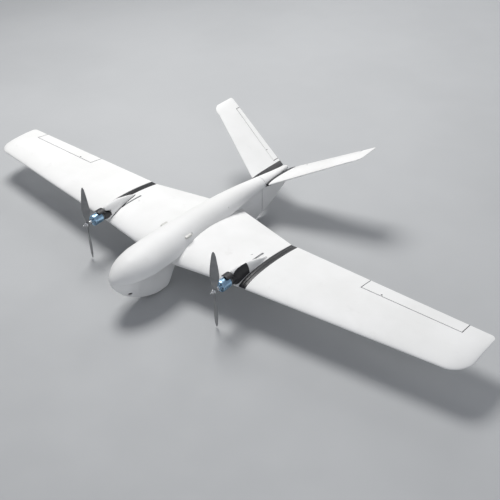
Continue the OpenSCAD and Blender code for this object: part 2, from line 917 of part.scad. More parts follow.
module fin_solid(stations, grow = 0) {
  loft([for (x = stations) fin_ring(x, grow)]);
}

fin_tip_steps = [for (a = [0, 25, 45, 62, 78, 90]) fin_span - fin_tip_round + fin_tip_round * sin(a)];
fin_spar_y = 268;
fin_spar_d = 6;

module fin_spar_bore(clear) {
  translate([-6, fin_spar_y, 0]) rotate([0, 90, 0]) cylinder(d = fin_spar_d + 2 * clear, h = 130);
}

// The black arm of the tail bracket that carries one fin.
module bracket_arm() {
  intersection() {
    fin_frame() fin_solid([-12, fin_start - 0.2], 0.8);
    translate([0, tail_seam_y + 2, -50]) cube([100, 250, 150]);
  }
  translate([-1, 235, 6]) cube([31, 85, 5]);
}

module tail_bracket() {
  color(part_black) datum() for (m = [0, 1]) mirror([m, 0, 0]) {
    bracket_arm();
    fin_frame() translate([0, fin_spar_y, 0]) rotate([0, 90, 0]) cylinder(d = fin_spar_d, h = 118);
  }
}

rv_in = [fin_start + 10, 337.3, 0];
rv_out = [272, 403.5, 0];
rv_r_in = 2.7;
rv_r_out = 2;
rv_cove_gap = 0.5;

module ruddervator_cut() {
  hinge_pins(rv_in, rv_out, hinge_pin_r + running, hinge_pin_out + 0.5);
  behind(rv_in, rv_out, 0, 0, 470);
  knuckle(rv_in, rv_out, rv_r_in * cove_ratio + rv_cove_gap, rv_r_out * cove_ratio + rv_cove_gap);
}

rv_link_x = 70;
rv_link_t = (rv_link_x - rv_in[0]) / (rv_out[0] - rv_in[0]);
rv_link_at = rv_in + rv_link_t * (rv_out - rv_in);

module rv_link_frame() {
  v = rv_out - rv_in;
  translate(rv_link_at) rotate([0, 0, atan2(v[1], v[0])]) children();
}

module tail_fin(s) {
  color(foam_white) side(s) fin_frame() difference() {
    fin_solid(concat([fin_start, 120, 200], fin_tip_steps));
    ruddervator_cut();
    fin_spar_bore(running);
    rv_link_frame() servo_pocket();
  }
}

module ruddervator(s) {
  color(foam_white) side(s) fin_frame() {
    difference() {
      union() {
        intersection() {
          fin_solid([fin_start, 120, 200, fin_span - fin_tip_round]);
          behind(rv_in, rv_out, end_gap, end_gap, 470);
        }
        knuckle(rv_in + [end_gap, 0, 0], rv_out - [end_gap, 0, 0], rv_r_in, rv_r_out);
        hinge_pins(rv_in, rv_out, hinge_pin_r, hinge_pin_out);
      }
      rv_link_frame() translate([-1, -3, -30]) cube([2, 6, 28]);
    }
    rv_link_frame() tail_horn();
  }
}

module tail_horn() {
  difference() {
    union() {
      translate([-1, -3, -arm_r]) cube([2, 6, arm_r]);
      translate([-1, 0, -arm_r]) rotate([0, 90, 0]) cylinder(r = 3, h = 2);
    }
    translate([-2, 0, -arm_r]) rotate([0, 90, 0]) cylinder(r = pin_r + running, h = 4);
  }
  translate([0, 4, 1.8]) cylinder(d = 4, h = 1.2);
}

module tail_servo(s) {
  color(part_black) side(s) fin_frame() rv_link_frame() servo_body();
}

module tail_servo_arm(s) {
  color(silver) side(s) fin_frame() rv_link_frame() servo_arm_body();
}

module tail_pushrod(s) {
  color(silver) side(s) fin_frame() rv_link_frame() pushrod_body();
}

// ---- Nodes ---------------------------------------------------------

top_cover();
lower_hull();
belly_fairing();
tail_cap();
belly_skid();
nose_camera();
survey_camera();
equipment_tray();
battery();
battery_straps();
autopilot();
gps_module();
main_spar();
rear_spar();
tail_bracket();
latch(1);  // latch_port
latch(-1);  // latch_starboard
centre_wing(1);  // centre_wing_port
centre_wing(-1);  // centre_wing_starboard
centre_rib(1);  // centre_rib_port
centre_rib(-1);  // centre_rib_starboard
motor_mount(1);  // motor_mount_port
motor_mount(-1);  // motor_mount_starboard
motor_stator(1);  // motor_stator_port
motor_stator(-1);  // motor_stator_starboard
nacelle_cover(1);  // nacelle_cover_port
nacelle_cover(-1);  // nacelle_cover_starboard
speed_controllers();
motor_bell(1);  // motor_bell_port
motor_bell(-1);  // motor_bell_starboard
prop_shaft(1);  // prop_shaft_port
prop_shaft(-1);  // prop_shaft_starboard
propeller(1);  // propeller_port
propeller(-1);  // propeller_starboard
prop_nut(1);  // prop_nut_port
prop_nut(-1);  // prop_nut_starboard
outer_wing(1);  // outer_wing_port
outer_wing(-1);  // outer_wing_starboard
outer_rib(1);  // outer_rib_port
outer_rib(-1);  // outer_rib_starboard
aileron_servo(1);  // aileron_servo_port
aileron_servo(-1);  // aileron_servo_starboard
aileron_servo_arm(1);  // aileron_servo_arm_port
aileron_servo_arm(-1);  // aileron_servo_arm_starboard
aileron_pushrod(1);  // aileron_pushrod_port
aileron_pushrod(-1);  // aileron_pushrod_starboard
aileron(1);  // aileron_port
aileron(-1);  // aileron_starboard
aileron_horn(1);  // aileron_horn_port
aileron_horn(-1);  // aileron_horn_starboard
tail_fin(1);  // tail_fin_port
tail_fin(-1);  // tail_fin_starboard
ruddervator(1);  // ruddervator_port
ruddervator(-1);  // ruddervator_starboard
tail_servo(1);  // tail_servo_port
tail_servo(-1);  // tail_servo_starboard
tail_servo_arm(1);  // tail_servo_arm_port
tail_servo_arm(-1);  // tail_servo_arm_starboard
tail_pushrod(1);  // tail_pushrod_port
tail_pushrod(-1);  // tail_pushrod_starboard
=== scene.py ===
# Looks for the twin-motor fixed wing survey drone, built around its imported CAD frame.
# Lengths in the outline tables are millimetres about the wing datum; place() turns them
# into metres in the row frame.
import json
from math import asin, atan, atan2, copysign, cos, hypot, pi, radians, sin, sqrt

import bmesh
import bpy
from mathutils import Matrix, Vector


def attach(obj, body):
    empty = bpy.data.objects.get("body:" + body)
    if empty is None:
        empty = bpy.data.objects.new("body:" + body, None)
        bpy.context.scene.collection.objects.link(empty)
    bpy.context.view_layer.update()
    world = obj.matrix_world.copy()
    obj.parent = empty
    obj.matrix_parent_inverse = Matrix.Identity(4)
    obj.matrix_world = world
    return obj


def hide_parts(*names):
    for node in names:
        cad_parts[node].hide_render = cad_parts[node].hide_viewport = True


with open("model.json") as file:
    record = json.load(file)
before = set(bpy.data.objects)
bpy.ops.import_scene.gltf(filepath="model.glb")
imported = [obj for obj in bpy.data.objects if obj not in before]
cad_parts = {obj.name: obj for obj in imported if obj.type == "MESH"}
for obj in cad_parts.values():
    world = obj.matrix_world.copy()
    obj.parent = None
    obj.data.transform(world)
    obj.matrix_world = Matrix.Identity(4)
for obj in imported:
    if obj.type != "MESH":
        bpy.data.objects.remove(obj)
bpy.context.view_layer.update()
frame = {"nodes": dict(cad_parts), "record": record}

MM = 0.001
DATUM = Vector((0.0, 0.0235, 0.124))
SIDES = {"port": 1, "starboard": -1}


def place(p, side=1):
    """A point in millimetres about the wing datum, as metres in the row frame."""
    return Vector((p[0] * side * MM, p[1] * MM, p[2] * MM)) + DATUM


def lerp_rows(rows, x, column):
    """Straight-line value of a column at x."""
    if x <= rows[0][0]:
        return rows[0][column]
    for a, b in zip(rows, rows[1:]):
        if x <= b[0]:
            t = (x - a[0]) / (b[0] - a[0])
            return a[column] + t * (b[column] - a[column])
    return rows[-1][column]


def smooth_rows(rows, x, column):
    """Value of a column at x on a smooth curve through the rows that never overshoots them."""
    n = len(rows)
    if x <= rows[0][0]:
        return rows[0][column]
    if x >= rows[-1][0]:
        return rows[-1][column]
    i = max(k for k in range(n - 1) if rows[k][0] <= x)

    def slope(k):
        return (rows[k + 1][column] - rows[k][column]) / (rows[k + 1][0] - rows[k][0])

    def tangent(k):
        if k == 0:
            return slope(0)
        if k == n - 1:
            return slope(n - 2)
        a, b = slope(k - 1), slope(k)
        return 0.0 if a * b <= 0 else 2 * a * b / (a + b)

    h = rows[i + 1][0] - rows[i][0]
    t = (x - rows[i][0]) / h
    m0, m1 = tangent(i) * h, tangent(i + 1) * h
    p0, p1 = rows[i][column], rows[i + 1][column]
    return ((2 * t**3 - 3 * t**2 + 1) * p0 + (t**3 - 2 * t**2 + t) * m0
            + (-2 * t**3 + 3 * t**2) * p1 + (t**3 - t**2) * m1)


# ---- Mesh helpers --------------------------------------------------

SHARP_ANGLE = radians(38)
BLADE_SHARP_ANGLE = radians(55)
MERGE_DISTANCE = 1e-7


def shaded_object(name, bm):
    """A smooth object from a bmesh, with its sharp edges marked."""
    mesh = bpy.data.meshes.new(name)
    bm.to_mesh(mesh)
    bm.free()
    mesh.shade_smooth()
    mesh.set_sharp_from_angle(angle=SHARP_ANGLE)
    obj = bpy.data.objects.new(name, mesh)
    bpy.context.scene.collection.objects.link(obj)
    return obj


def new_object(name, bm):
    bmesh.ops.remove_doubles(bm, verts=bm.verts, dist=MERGE_DISTANCE)
    bmesh.ops.recalc_face_normals(bm, faces=bm.faces)
    return shaded_object(name, bm)


def loft(name, rings, side=1, base=None):
    """A solid skinned over closed rings of points, with flat ends."""
    bm = bmesh.new()
    rows = [[bm.verts.new(place(base @ Vector(p) if base else p, side)) for p in ring] for ring in rings]
    n = len(rows[0])
    for a, b in zip(rows, rows[1:]):
        for j in range(n):
            k = (j + 1) % n
            bm.faces.new((a[j], a[k], b[k], b[j]))
    bm.faces.new(list(reversed(rows[0])))
    bm.faces.new(rows[-1])
    return new_object(name, bm)


def box_cutter(lo, hi, side=1, base=None):
    bm = bmesh.new()
    corners = [(x, y, z) for x in (lo[0], hi[0]) for y in (lo[1], hi[1]) for z in (lo[2], hi[2])]
    points = [base @ Vector(c) if base else Vector(c) for c in corners]
    v = [bm.verts.new(place(p, side)) for p in points]
    for f in ((0, 1, 3, 2), (4, 6, 7, 5), (0, 4, 5, 1), (2, 3, 7, 6), (0, 2, 6, 4), (1, 5, 7, 3)):
        bm.faces.new([v[i] for i in f])
    return new_object("cutter", bm)


def circle(centre, u, v, r, segments):
    """Points round a circle that lies along the unit vectors u and v."""
    return [centre + u * (r * cos(t)) + v * (r * sin(t))
            for t in (2 * pi * i / segments for i in range(segments))]


def rod(name, a, b, r1, r2=None, side=1, segments=48, base=None):
    """A round bar or cone from a to b."""
    a, b = Vector(a), Vector(b)
    d = (b - a).normalized()
    u = d.orthogonal().normalized()
    v = d.cross(u).normalized()
    rings = [circle(centre, u, v, r, segments) for centre, r in ((a, r1), (b, r1 if r2 is None else r2))]
    return loft(name, rings, side, base)


def prism_cutter(outline, z0, z1, side=1, base=None):
    """A cutter with a plan outline, from height z0 to z1."""
    return loft("cutter", [[(x, y, z) for x, y in outline] for z in (z0, z1)], side, base)


def apply_modifiers(obj):
    graph = bpy.context.evaluated_depsgraph_get()
    mesh = bpy.data.meshes.new_from_object(obj.evaluated_get(graph))
    obj.modifiers.clear()
    obj.data = mesh


def carve(obj, cutters, operation="DIFFERENCE", sharp=SHARP_ANGLE):
    for cutter in cutters:
        mod = obj.modifiers.new("carve", "BOOLEAN")
        mod.object = cutter
        mod.operation = operation
        mod.solver = "EXACT"
    apply_modifiers(obj)
    for cutter in cutters:
        bpy.data.objects.remove(cutter)
    obj.data.shade_smooth()
    obj.data.set_sharp_from_angle(angle=sharp)
    return obj


# ---- Wing shape ----------------------------------------------------

HALF_SPAN = 984.0
JOINT_X = 310.0
RIB_W = 12.5
CENTRE_TIP_X = JOINT_X - RIB_W
OUTER_ROOT_X = JOINT_X + RIB_W
WING_ROOT_X = 36.0
LE_ROOT_Y = -284.5
LE_SLOPE = 0.1096
TE_KINK_SLOPE = 0.27
TIP_ROUND_X = HALF_SPAN - 66
TIP_CORNER_Y = -110.0
TE_CORNER_R = 14.0
TE_HALF_H = 0.7
# Distance from centre, thickness, camber, leading edge height, trailing edge height
WING_ROWS = [
    (WING_ROOT_X, 0.15, 0.05, -16, -14),
    (62, 0.15, 0.05, -16, -13),
    (180, 0.13, 0.035, -10, -7),
    (JOINT_X, 0.11, 0.02, -4, 0),
    (HALF_SPAN, 0.10, 0.018, -2, 0),
]
CHORD_STEPS = 40


def half_thickness(u):
    return 5 * (0.2969 * sqrt(u) - 0.126 * u - 0.3516 * u**2 + 0.2843 * u**3 - 0.1036 * u**4)


def wing_le(x):
    u = min(1.0, max(0.0, (x - TIP_ROUND_X) / (HALF_SPAN - TIP_ROUND_X)))
    line = LE_ROOT_Y + LE_SLOPE * min(x, TIP_ROUND_X)
    return TIP_CORNER_Y - (TIP_CORNER_Y - line) * sqrt(1 - u * u)


def wing_te(x):
    u = min(1.0, max(0.0, (x - HALF_SPAN + TE_CORNER_R) / TE_CORNER_R))
    return max(0.0, TE_KINK_SLOPE * (JOINT_X - 13 - x)) - TE_CORNER_R * (1 - sqrt(1 - u * u))


def wing_z(x, u, side, grow=0.0):
    chord = wing_te(x) - wing_le(x)
    tip = min(1.0, max(0.0, (x - TIP_ROUND_X) / (HALF_SPAN - TIP_ROUND_X)))
    mean = lerp_rows(WING_ROWS, x, 3) * (1 - u) + lerp_rows(WING_ROWS, x, 4) * u
    camber = 4 * lerp_rows(WING_ROWS, x, 2) * chord * u * (1 - u)
    half = lerp_rows(WING_ROWS, x, 1) * chord * half_thickness(u) * sqrt(1 - 0.97 * tip**2)
    return mean + camber + side * max(0.25, half + TE_HALF_H * u + grow)


def foil_steps():
    """(side, fraction of chord) round an aerofoil, from the upper rear edge to the lower one."""
    upper = [(1, (1 - cos(pi * i / CHORD_STEPS)) / 2) for i in range(CHORD_STEPS, -1, -1)]
    lower = [(-1, (1 - cos(pi * i / CHORD_STEPS)) / 2) for i in range(1, CHORD_STEPS + 1)]
    return upper + lower


def wing_ring(x, grow=0.0):
    ring = []
    for side, u in foil_steps():
        nose = 0.25 if u == 0 else 0.0
        z = wing_z(x, u, side, grow)
        if u == 0:
            z -= nose + max(0.0, grow)
        y = wing_le(x) - grow + u * (wing_te(x) - wing_le(x) + 2 * grow)
        ring.append((x, y, z))
    return ring


def tip_stations(start, round_x, end, count):
    """Even stations along the span, closing up round the tip."""
    body = [start + (round_x - start) * i / count for i in range(count)]
    curve = [round_x + (end - round_x) * sin(radians(a)) for a in range(0, 91, 6)]
    return body + curve


def straight_stations(a, b, count):
    return [a + (b - a) * i / count for i in range(count + 1)]


# ---- Hinges and linkages -------------------------------------------

COVE_RATIO = 1.105
COVE_GAP = 0.4
END_GAP = 1.0
END_RIB_W = 1.6
# Inner and outer end of the aileron's hinge line, and its radius at each end
AILERON_IN = Vector((588, -49.7, 2.2))
AILERON_OUT = Vector((907, -43.7, 1.9))
AILERON_R = (5.9, 4.9)
LINK_Y = -62.0
ARM_R = 14.0
AILERON_LINK_X = 654.0
# Each spar tube's station, height and diameter
MAIN_SPAR = (-170.0, 2.0, 16.0)
REAR_SPAR = (-75.0, 1.0, 8.0)
BORE_CLEARANCE = 0.05


def hinge_frame(a, b, x, base=None):
    """Frame on a hinge line where its distance along is x: +X runs along the hinge."""
    at = a + (b - a) * ((x - a.x) / (b.x - a.x))
    v = b - a
    m = (Matrix.Translation(at) @ Matrix.Rotation(atan2(v.y, v.x), 4, "Z")
         @ Matrix.Rotation(-asin(v.z / v.length), 4, "Y"))
    return base @ m if base else m


def behind_outline(a, b, trim, deep):
    return [(a.x + trim, a.y), (b.x - trim, b.y), (b.x - trim, deep), (a.x + trim, deep)]


def spar_cutters(side, clearance=BORE_CLEARANCE):
    return [rod("cutter", (0, y, z), (620, y, z), d / 2 + clearance, side=side)
            for y, z, d in (MAIN_SPAR, REAR_SPAR)]


def servo_pocket(side, base):
    return [
        box_cutter((-21.2, LINK_Y - 8.2, -30), (-2.5, LINK_Y + 14.2, 3.2), side, base),
        box_cutter((-2.6, LINK_Y - 9, -30), (4.8, LINK_Y + 11, 4), side, base),
        box_cutter((-1.6, -12, -30), (1.6, 0, 0), side, base),
    ]


AILERON_LINK = hinge_frame(AILERON_IN, AILERON_OUT, AILERON_LINK_X)


def surface_cutters(a, b, radii, side, deep, base=None):
    """What is cut from a wing or fin to let its control surface move."""
    r1, r2 = (r * COVE_RATIO + COVE_GAP for r in radii)
    pin = (b - a).normalized() * 5
    return [
        rod("cutter", a - pin, b + pin, 0.95, side=side, base=base),
        prism_cutter(behind_outline(a, b, 0, deep), -60, 60, side, base),
        rod("cutter", a, b, r1, r2, side, base=base),
    ]


def control_surface(name, rings, a, b, side, deep, base=None):
    """The foam behind a hinge line, between the black ribs of painted shade at its ends."""
    outline = behind_outline(a, b, END_GAP + END_RIB_W, deep)
    return carve(loft(name, rings, side), [prism_cutter(outline, -60, 60, side, base)], "INTERSECT")


def surface_shade_parts(name, rings, a, b, radii, slim, side, deep, base=None):
    """The black parts of a control surface: the round bar on its hinge line and a rib at each end, coloured
    black as painted shade for the gaps round the surface.
    """
    along = (b - a).normalized() * END_GAP
    pieces = [rod("bar", a + along, b - along, radii[0] - slim, radii[1] - slim, side, base=base)]
    pin = (b - a).normalized() * 4.5
    pieces.append(rod("pin", a - pin, b + pin, 0.9, side=side, base=base))
    for lo, hi, y in ((a.x + END_GAP, a.x + END_GAP + END_RIB_W, a.y),
        (b.x - END_GAP - END_RIB_W, b.x - END_GAP, b.y)):
        outline = [(lo, y), (hi, y), (hi, deep), (lo, deep)]
        pieces.append(carve(loft("rib", rings, side), [prism_cutter(outline, -60, 60, side, base)],
            "INTERSECT"))
    return joined(name, pieces)


def outer_wing(name, side):
    wing = loft("foam_outer_wing_" + name, [wing_ring(x) for x in tip_stations(OUTER_ROOT_X, TIP_ROUND_X,
        HALF_SPAN, 44)], side)
    cutters = surface_cutters(AILERON_IN, AILERON_OUT, AILERON_R, side, 30)
    cutters += spar_cutters(side) + servo_pocket(side, AILERON_LINK)
    return carve(wing, cutters)


def aileron_rings():
    return [wing_ring(x) for x in straight_stations(560, 917, 30)]


def aileron(name, side):
    piece = control_surface("foam_aileron_" + name, aileron_rings(), AILERON_IN, AILERON_OUT, side, 20)
    pocket = box_cutter((-5.2, -3.2, -30), (5.2, 13.2, -3.4), side, AILERON_LINK)
    plate = rod("cutter", (0, 5, 4.2), (0, 5, 20), 2.5, side=side, base=AILERON_LINK)
    return carve(piece, [pocket, plate])


def centre_wing(name, side):
    stations = [WING_ROOT_X] + straight_stations(62, CENTRE_TIP_X, 30)
    wing = loft("foam_centre_wing_" + name, [wing_ring(x) for x in stations], side)
    groove = prism_cutter(groove_outline(0), 6, 60, side)
    carve(groove, [wing_depth(-4, side)])
    mark = rod("cutter", (248, -130, 4), (248, -130, 40), 2, side=side)
    return carve(wing, [groove, mark] + spar_cutters(side, 0.0))


def groove_outline(inset):
    """The wire groove beside the nacelle, with a rounded rear end."""
    x0, x1, y0, y1 = 265 + inset, 272 - inset, -190 + inset, -100 - inset
    return [(x0, y0), (x1, y0), (x1, y1 - 3), (x1 - 2, y1), (x0 + 2, y1), (x0, y1 - 3)]


def wing_depth(grow, side):
    """The centre wing's shape near the nacelle, thinner all round by -grow."""
    return loft("cutter", [wing_ring(x, grow) for x in (200, 250, 290)], side)


def groove_shade_strip(name, side):
    """A grey strip of painted shade on the floor of the groove."""
    strip = prism_cutter(groove_outline(0.4), 6, 60, side)
    strip.name = "groove_shade_strip_" + name
    carve(strip, [wing_depth(-2.2, side)], "INTERSECT")
    return carve(strip, [wing_depth(-3.95, side)])


# ---- Fuselage shape ------------------------------------------------

TAIL_SEAM_Y = 206.0
PART_GAP = 0.4
FOAM_WALL = 8.0
NOSE_Y = -478.0
POD_HALF_W = 22.0
GROUND_Z = -124.0
# Station, half width, top height, crease height
BODY_ROWS = [
    (-478, 1, 5, 3), (-474, 14, 17, 3), (-466, 25, 27, 2), (-452, 36, 39, 1), (-430, 50, 50, 1),
    (-400, 60, 58, 1), (-350, 68, 62, 2), (-300, 68, 63, 3), (-200, 64, 65, 5), (-100, 57, 64, 8),
    (12, 48, 58, 10), (105, 38, 49, 11), (206, 27, 34, 9),
]
# Station, half width and height of the crease, of the waist and of the bottom corner
HULL_ROWS = [
    (-478, 1, 3, 1, 1, 1, -1), (-474, 14, 3, 11, -12, 6, -17), (-466, 25, 2, 20, -18, 11, -30),
    (-452, 36, 1, 30, -26, 17, -50), (-430, 50, 1, 38, -32, 22, -68), (-408, 58, 1, 36, -42, 23, -84),
    (-396, 61, 1, 32, -48, 23, -92), (-386, 63, 1, 29, -54, POD_HALF_W, -98),
    (-308, 68, 3, 28, -58, POD_HALF_W, -122), (-286, 67, 3, 28, -56, POD_HALF_W, -122),
    (-231, 65, 4, 28, -42, 20, -54), (-200, 64, 5, 28, -38, 18, -46), (-100, 57, 8, 26, -32, 16, -42),
    (-20, 50, 10, 22, -28, 12, -48), (40, 45, 10, 16, -24, 8, -80), (90, 39, 11, 13, -20, 6, -117),
    (110, 37, 11, 12, -18, 5, GROUND_Z), (140, 34, 10, 11, -16, 5, GROUND_Z), (206, 27, 9, 9, -10, 4, -108),
]
# The tail cap's rows: as the hull's, with the top height at the end
CAP_ROWS = [
    (206.4, 27, 9, 9, -10, 4, -108, 34), (245, 23, 9, 8, -9, 4, -97, 28), (285, 18, 8, 7, -7, 3, -81, 22),
    (320, 14, 7, 6, -5, 3, -63, 18), (345, 10, 6, 4, -3, 2, -50, 15), (356, 5, 6, 2, 0, 1, -30, 11),
]


def nose_rows(rows):
    """Rows with the station as a square root from the nose, so that the nose comes out round."""
    return [(sqrt(row[0] - NOSE_Y),) + tuple(row[1:]) for row in rows]


BODY_ROOT_ROWS = nose_rows(BODY_ROWS)
HULL_ROOT_ROWS = nose_rows(HULL_ROWS)


def nose_stations(y0, y1, count):
    a, b = sqrt(y0 - NOSE_Y), sqrt(y1 - NOSE_Y)
    return [NOSE_Y + (a + (b - a) * i / count) ** 2 for i in range(count + 1)]


def body_at(y, column):
    return smooth_rows(BODY_ROOT_ROWS, sqrt(max(0.0, y - NOSE_Y)), column)


def upper_ring(y, wall=0.0, steps=48):
    w, top, crease = (body_at(y, c) for c in (1, 2, 3))
    ring = []
    for i in range(steps + 1):
        a = pi * i / steps
        z = crease + PART_GAP + (top - crease - PART_GAP - wall) * sin(a)
        if wall and i in (0, steps):
            z -= 1
        ring.append((-(w - wall) * cos(a), y, z))
    return ring


def flank(crease, waist, corner, steps=16):
    """Points down one side of the lower body, from the crease to the bottom."""
    pull = (waist[0] + 0.25 * (crease[0] - waist[0]), crease[1] - 0.35 * (crease[1] - waist[1]))

    def curve(p, q, r, count):
        return [tuple((1 - t) ** 2 * p[k] + 2 * t * (1 - t) * q[k] + t * t * r[k] for k in (0, 1))
                for t in (i / count for i in range(count + 1))]

    low = (waist[0] + 0.8 * (corner[0] - waist[0]), waist[1] + 0.8 * (corner[1] - waist[1]))
    side = [(waist[0] + (low[0] - waist[0]) * t, waist[1] + (low[1] - waist[1]) * t) for t in (0.33, 0.66)]
    return curve(crease, pull, waist, steps) + side + curve(low, corner, (0.6 * corner[0], corner[1]), 8)


def hull_ring(y, rows, at, top_steps=0):
    v = [smooth_rows(rows, at, c) for c in range(1, len(rows[0]))]
    half = flank((v[0], v[1]), (v[2], v[3]), (v[4], v[5]))
    ring = [(-x, y, z) for x, z in reversed(half)]
    if top_steps:
        for i in range(1, top_steps):
            a = pi * i / top_steps
            ring.append((-v[0] * cos(a), y, v[1] + (v[6] - v[1]) * sin(a)))
    return ring + [(x, y, z) for x, z in half]


def top_cover():
    cover = loft("foam_top_cover", [upper_ring(y) for y in nose_stations(NOSE_Y, TAIL_SEAM_Y, 96)])
    inner = loft("cutter", [upper_ring(y, FOAM_WALL) for y in nose_stations(-452, TAIL_SEAM_Y - 8, 60)])
    cutters = [inner]
    for side in SIDES.values():
        cutters.append(loft("cutter", [wing_ring(x, PART_GAP) for x in (WING_ROOT_X - 4, 62, 80, 100)],
            side))
        cutters.append(latch_cutter(side))
    cutters.append(rod("cutter", (28, -2, 36), (52, -2, 36), 2))
    return carve(cover, cutters)


LATCH_Y, LATCH_X, LATCH_Z, LATCH_R, LATCH_HALF, LATCH_TRAVEL = -200.0, 54.0, 41.0, 4.0, 10.0, 6.0


def stadium(y0, y1, z, r, x, steps=12):
    """A ring in the Y-Z plane round a slot with half-round ends."""
    front = [(x, y0 - r * sin(pi * i / steps), z + r * cos(pi * i / steps)) for i in range(steps + 1)]
    back = [(x, y1 + r * sin(pi * i / steps), z - r * cos(pi * i / steps)) for i in range(steps + 1)]
    return front + back


def latch_cutter(side):
    r = LATCH_R + 0.4
    y0, y1 = LATCH_Y - LATCH_HALF, LATCH_Y + LATCH_HALF + LATCH_TRAVEL
    return loft("cutter", [stadium(y0, y1, LATCH_Z, r, x) for x in (LATCH_X - 5.4, LATCH_X + 20)], side)


NOSE_CAMERA = (Matrix.Translation((26, -436, -46)) @ Matrix.Rotation(radians(-36), 4, "Z")
    @ Matrix.Rotation(radians(130), 4, "Y"))


def lower_hull():
    stations = nose_stations(NOSE_Y, TAIL_SEAM_Y, 110)
    hull = loft("foam_lower_hull", [hull_ring(y, HULL_ROOT_ROWS, sqrt(max(0.0, y - NOSE_Y)))
        for y in stations])
    bay = [(-26, -440), (26, -440), (44, -400), (44, -296), (34, -286), (34, 20), (30, 80), (-30, 80),
           (-34, 20), (-34, -286), (-44, -296), (-44, -400)]
    cutters = [
        prism_cutter(bay, -14, 46),
        box_cutter((-18, -405, -34), (18, -75, 26)),
        box_cutter((-15, -380, -92), (15, -296, 8)),
        rod("cutter", (0, -345, -125), (0, -345, -91), 12),
        rod("cutter", (0, 0, -4.5), (0, 0, 46), 7.5, base=NOSE_CAMERA),
    ]
    return carve(hull, cutters)


def tail_cap():
    stations = straight_stations(TAIL_SEAM_Y + PART_GAP + 1.2, 356, 40)
    return loft("foam_tail_cap", [hull_ring(y, CAP_ROWS, y, 24) for y in stations])


def seam_shade_strip():
    """The dark strip of painted shade in the seam ahead of the tail cap."""
    ring = hull_ring(TAIL_SEAM_Y, CAP_ROWS, TAIL_SEAM_Y + PART_GAP, 24)
    edge = inset_points([(x, z) for x, _, z in ring], 1.2)
    return loft("tail_seam_gasket", [[(x, y, z) for x, z in edge]
        for y in (TAIL_SEAM_Y + 0.2, TAIL_SEAM_Y + 1.6)])


# ---- Tail shape ----------------------------------------------------

FIN_FRAME = Matrix.Translation((29.3, 0, 12)) @ Matrix.Rotation(radians(-26.3), 4, "Y")
FIN_SPAN = 322.0
FIN_TIP_ROUND = 40.0
FIN_START = 8.0
FIN_CORNER_Y = 205 + 0.415 * (FIN_SPAN - FIN_TIP_ROUND) + 38
# The fin spar's station and radius
FIN_SPAR = (268.0, 3.0)
RV_IN = Vector((FIN_START + 10, 337.3, 0))
RV_OUT = Vector((272, 403.5, 0))
RV_R = (2.7, 2.0)
RV_LINK = hinge_frame(RV_IN, RV_OUT, 70, FIN_FRAME)


def fin_te(x):
    u = max(0.0, (x - FIN_SPAN + 10) / 10)
    return 358 + 0.23 * x - 8 * (1 - sqrt(max(0.0, 1 - u * u)))


def fin_tip(x):
    return min(1.0, max(0.0, (x - FIN_SPAN + FIN_TIP_ROUND) / FIN_TIP_ROUND))


def fin_le(x):
    line = 205 + 0.415 * min(x, FIN_SPAN - FIN_TIP_ROUND)
    return FIN_CORNER_Y - (FIN_CORNER_Y - line) * sqrt(1 - fin_tip(x) ** 2)


def fin_ring(x, grow=0.0):
    """A fin section in fin coordinates, turned to the fin's dihedral."""
    chord = fin_te(x) - fin_le(x)
    ring = []
    for side, u in foil_steps():
        half = 0.085 * chord * half_thickness(u) * sqrt(1 - 0.97 * fin_tip(x) ** 2) + 0.6 * u + grow
        ring.append(FIN_FRAME @ Vector((x, fin_le(x) - grow + u * (chord + 2 * grow),
            side * max(half, 0.2))))
    return ring


def tail_fin(name, side):
    stations = tip_stations(FIN_START, FIN_SPAN - FIN_TIP_ROUND, FIN_SPAN, 26)
    fin = loft("foam_tail_fin_" + name, [fin_ring(x) for x in stations], side)
    cutters = surface_cutters(RV_IN, RV_OUT, RV_R, side, 470, FIN_FRAME) + servo_pocket(side, RV_LINK)
    y, r = FIN_SPAR
    cutters.append(rod("cutter", (0, y, 0), (124, y, 0), r + BORE_CLEARANCE, side=side, base=FIN_FRAME))
    return carve(fin, cutters)


def ruddervator_rings():
    return [fin_ring(x) for x in straight_stations(FIN_START, FIN_SPAN - FIN_TIP_ROUND, 26)]


def ruddervator(name, side):
    piece = control_surface("foam_ruddervator_" + name, ruddervator_rings(), RV_IN, RV_OUT, side, 470,
        FIN_FRAME)
    return carve(piece, [box_cutter((-1, -3, -30), (1, 3, -2), side, RV_LINK)])


# ---- Small part helpers --------------------------------------------


def joined(name, pieces):
    """One mesh from several."""
    bm = bmesh.new()
    for piece in pieces:
        bm.from_mesh(piece.data)
        bpy.data.objects.remove(piece)
    return shaded_object(name, bm)


def rounded_outline(x0, x1, y0, y1, r, steps=6):
    """A rectangle with round corners, as points in order."""
    points = []
    for cx, cy, start in ((x1 - r, y1 - r, 0), (x0 + r, y1 - r, 90), (x0 + r, y0 + r, 180),
        (x1 - r, y0 + r, 270)):
        for i in range(steps + 1):
            a = radians(start + 90 * i / steps)
            points.append((cx + r * cos(a), cy + r * sin(a)))
    return points


def inset_points(points, d):
    """Points moved towards their middle by d."""
    cx = sum(p[0] for p in points) / len(points)
    cy = sum(p[1] for p in points) / len(points)
    out = []
    for x, y in points:
        n = hypot(x - cx, y - cy) or 1.0
        out.append((x - d * (x - cx) / n, y - d * (y - cy) / n))
    return out


def slab(name, outline, lo, hi, edge, to_point, side=1, base=None):
    """An outline made solid between two heights, with softened edges.
    to_point turns (outline x, outline y, height) into a point."""
    levels = ((lo, edge), (lo + 0.3 * edge, 0.3 * edge), (lo + edge, 0), (hi - edge, 0),
        (hi - 0.3 * edge, 0.3 * edge), (hi, edge))
    return loft(name, [[to_point(x, y, h) for x, y in inset_points(outline, d)] for h, d in levels], side,
        base)


def soft_box(name, lo, hi, r, edge, side=1, base=None):
    """A box with round corners in plan and softened top and bottom edges."""
    outline = rounded_outline(lo[0], hi[0], lo[1], hi[1], r)
    return slab(name, outline, lo[2], hi[2], edge, lambda x, y, h: (x, y, h), side, base)


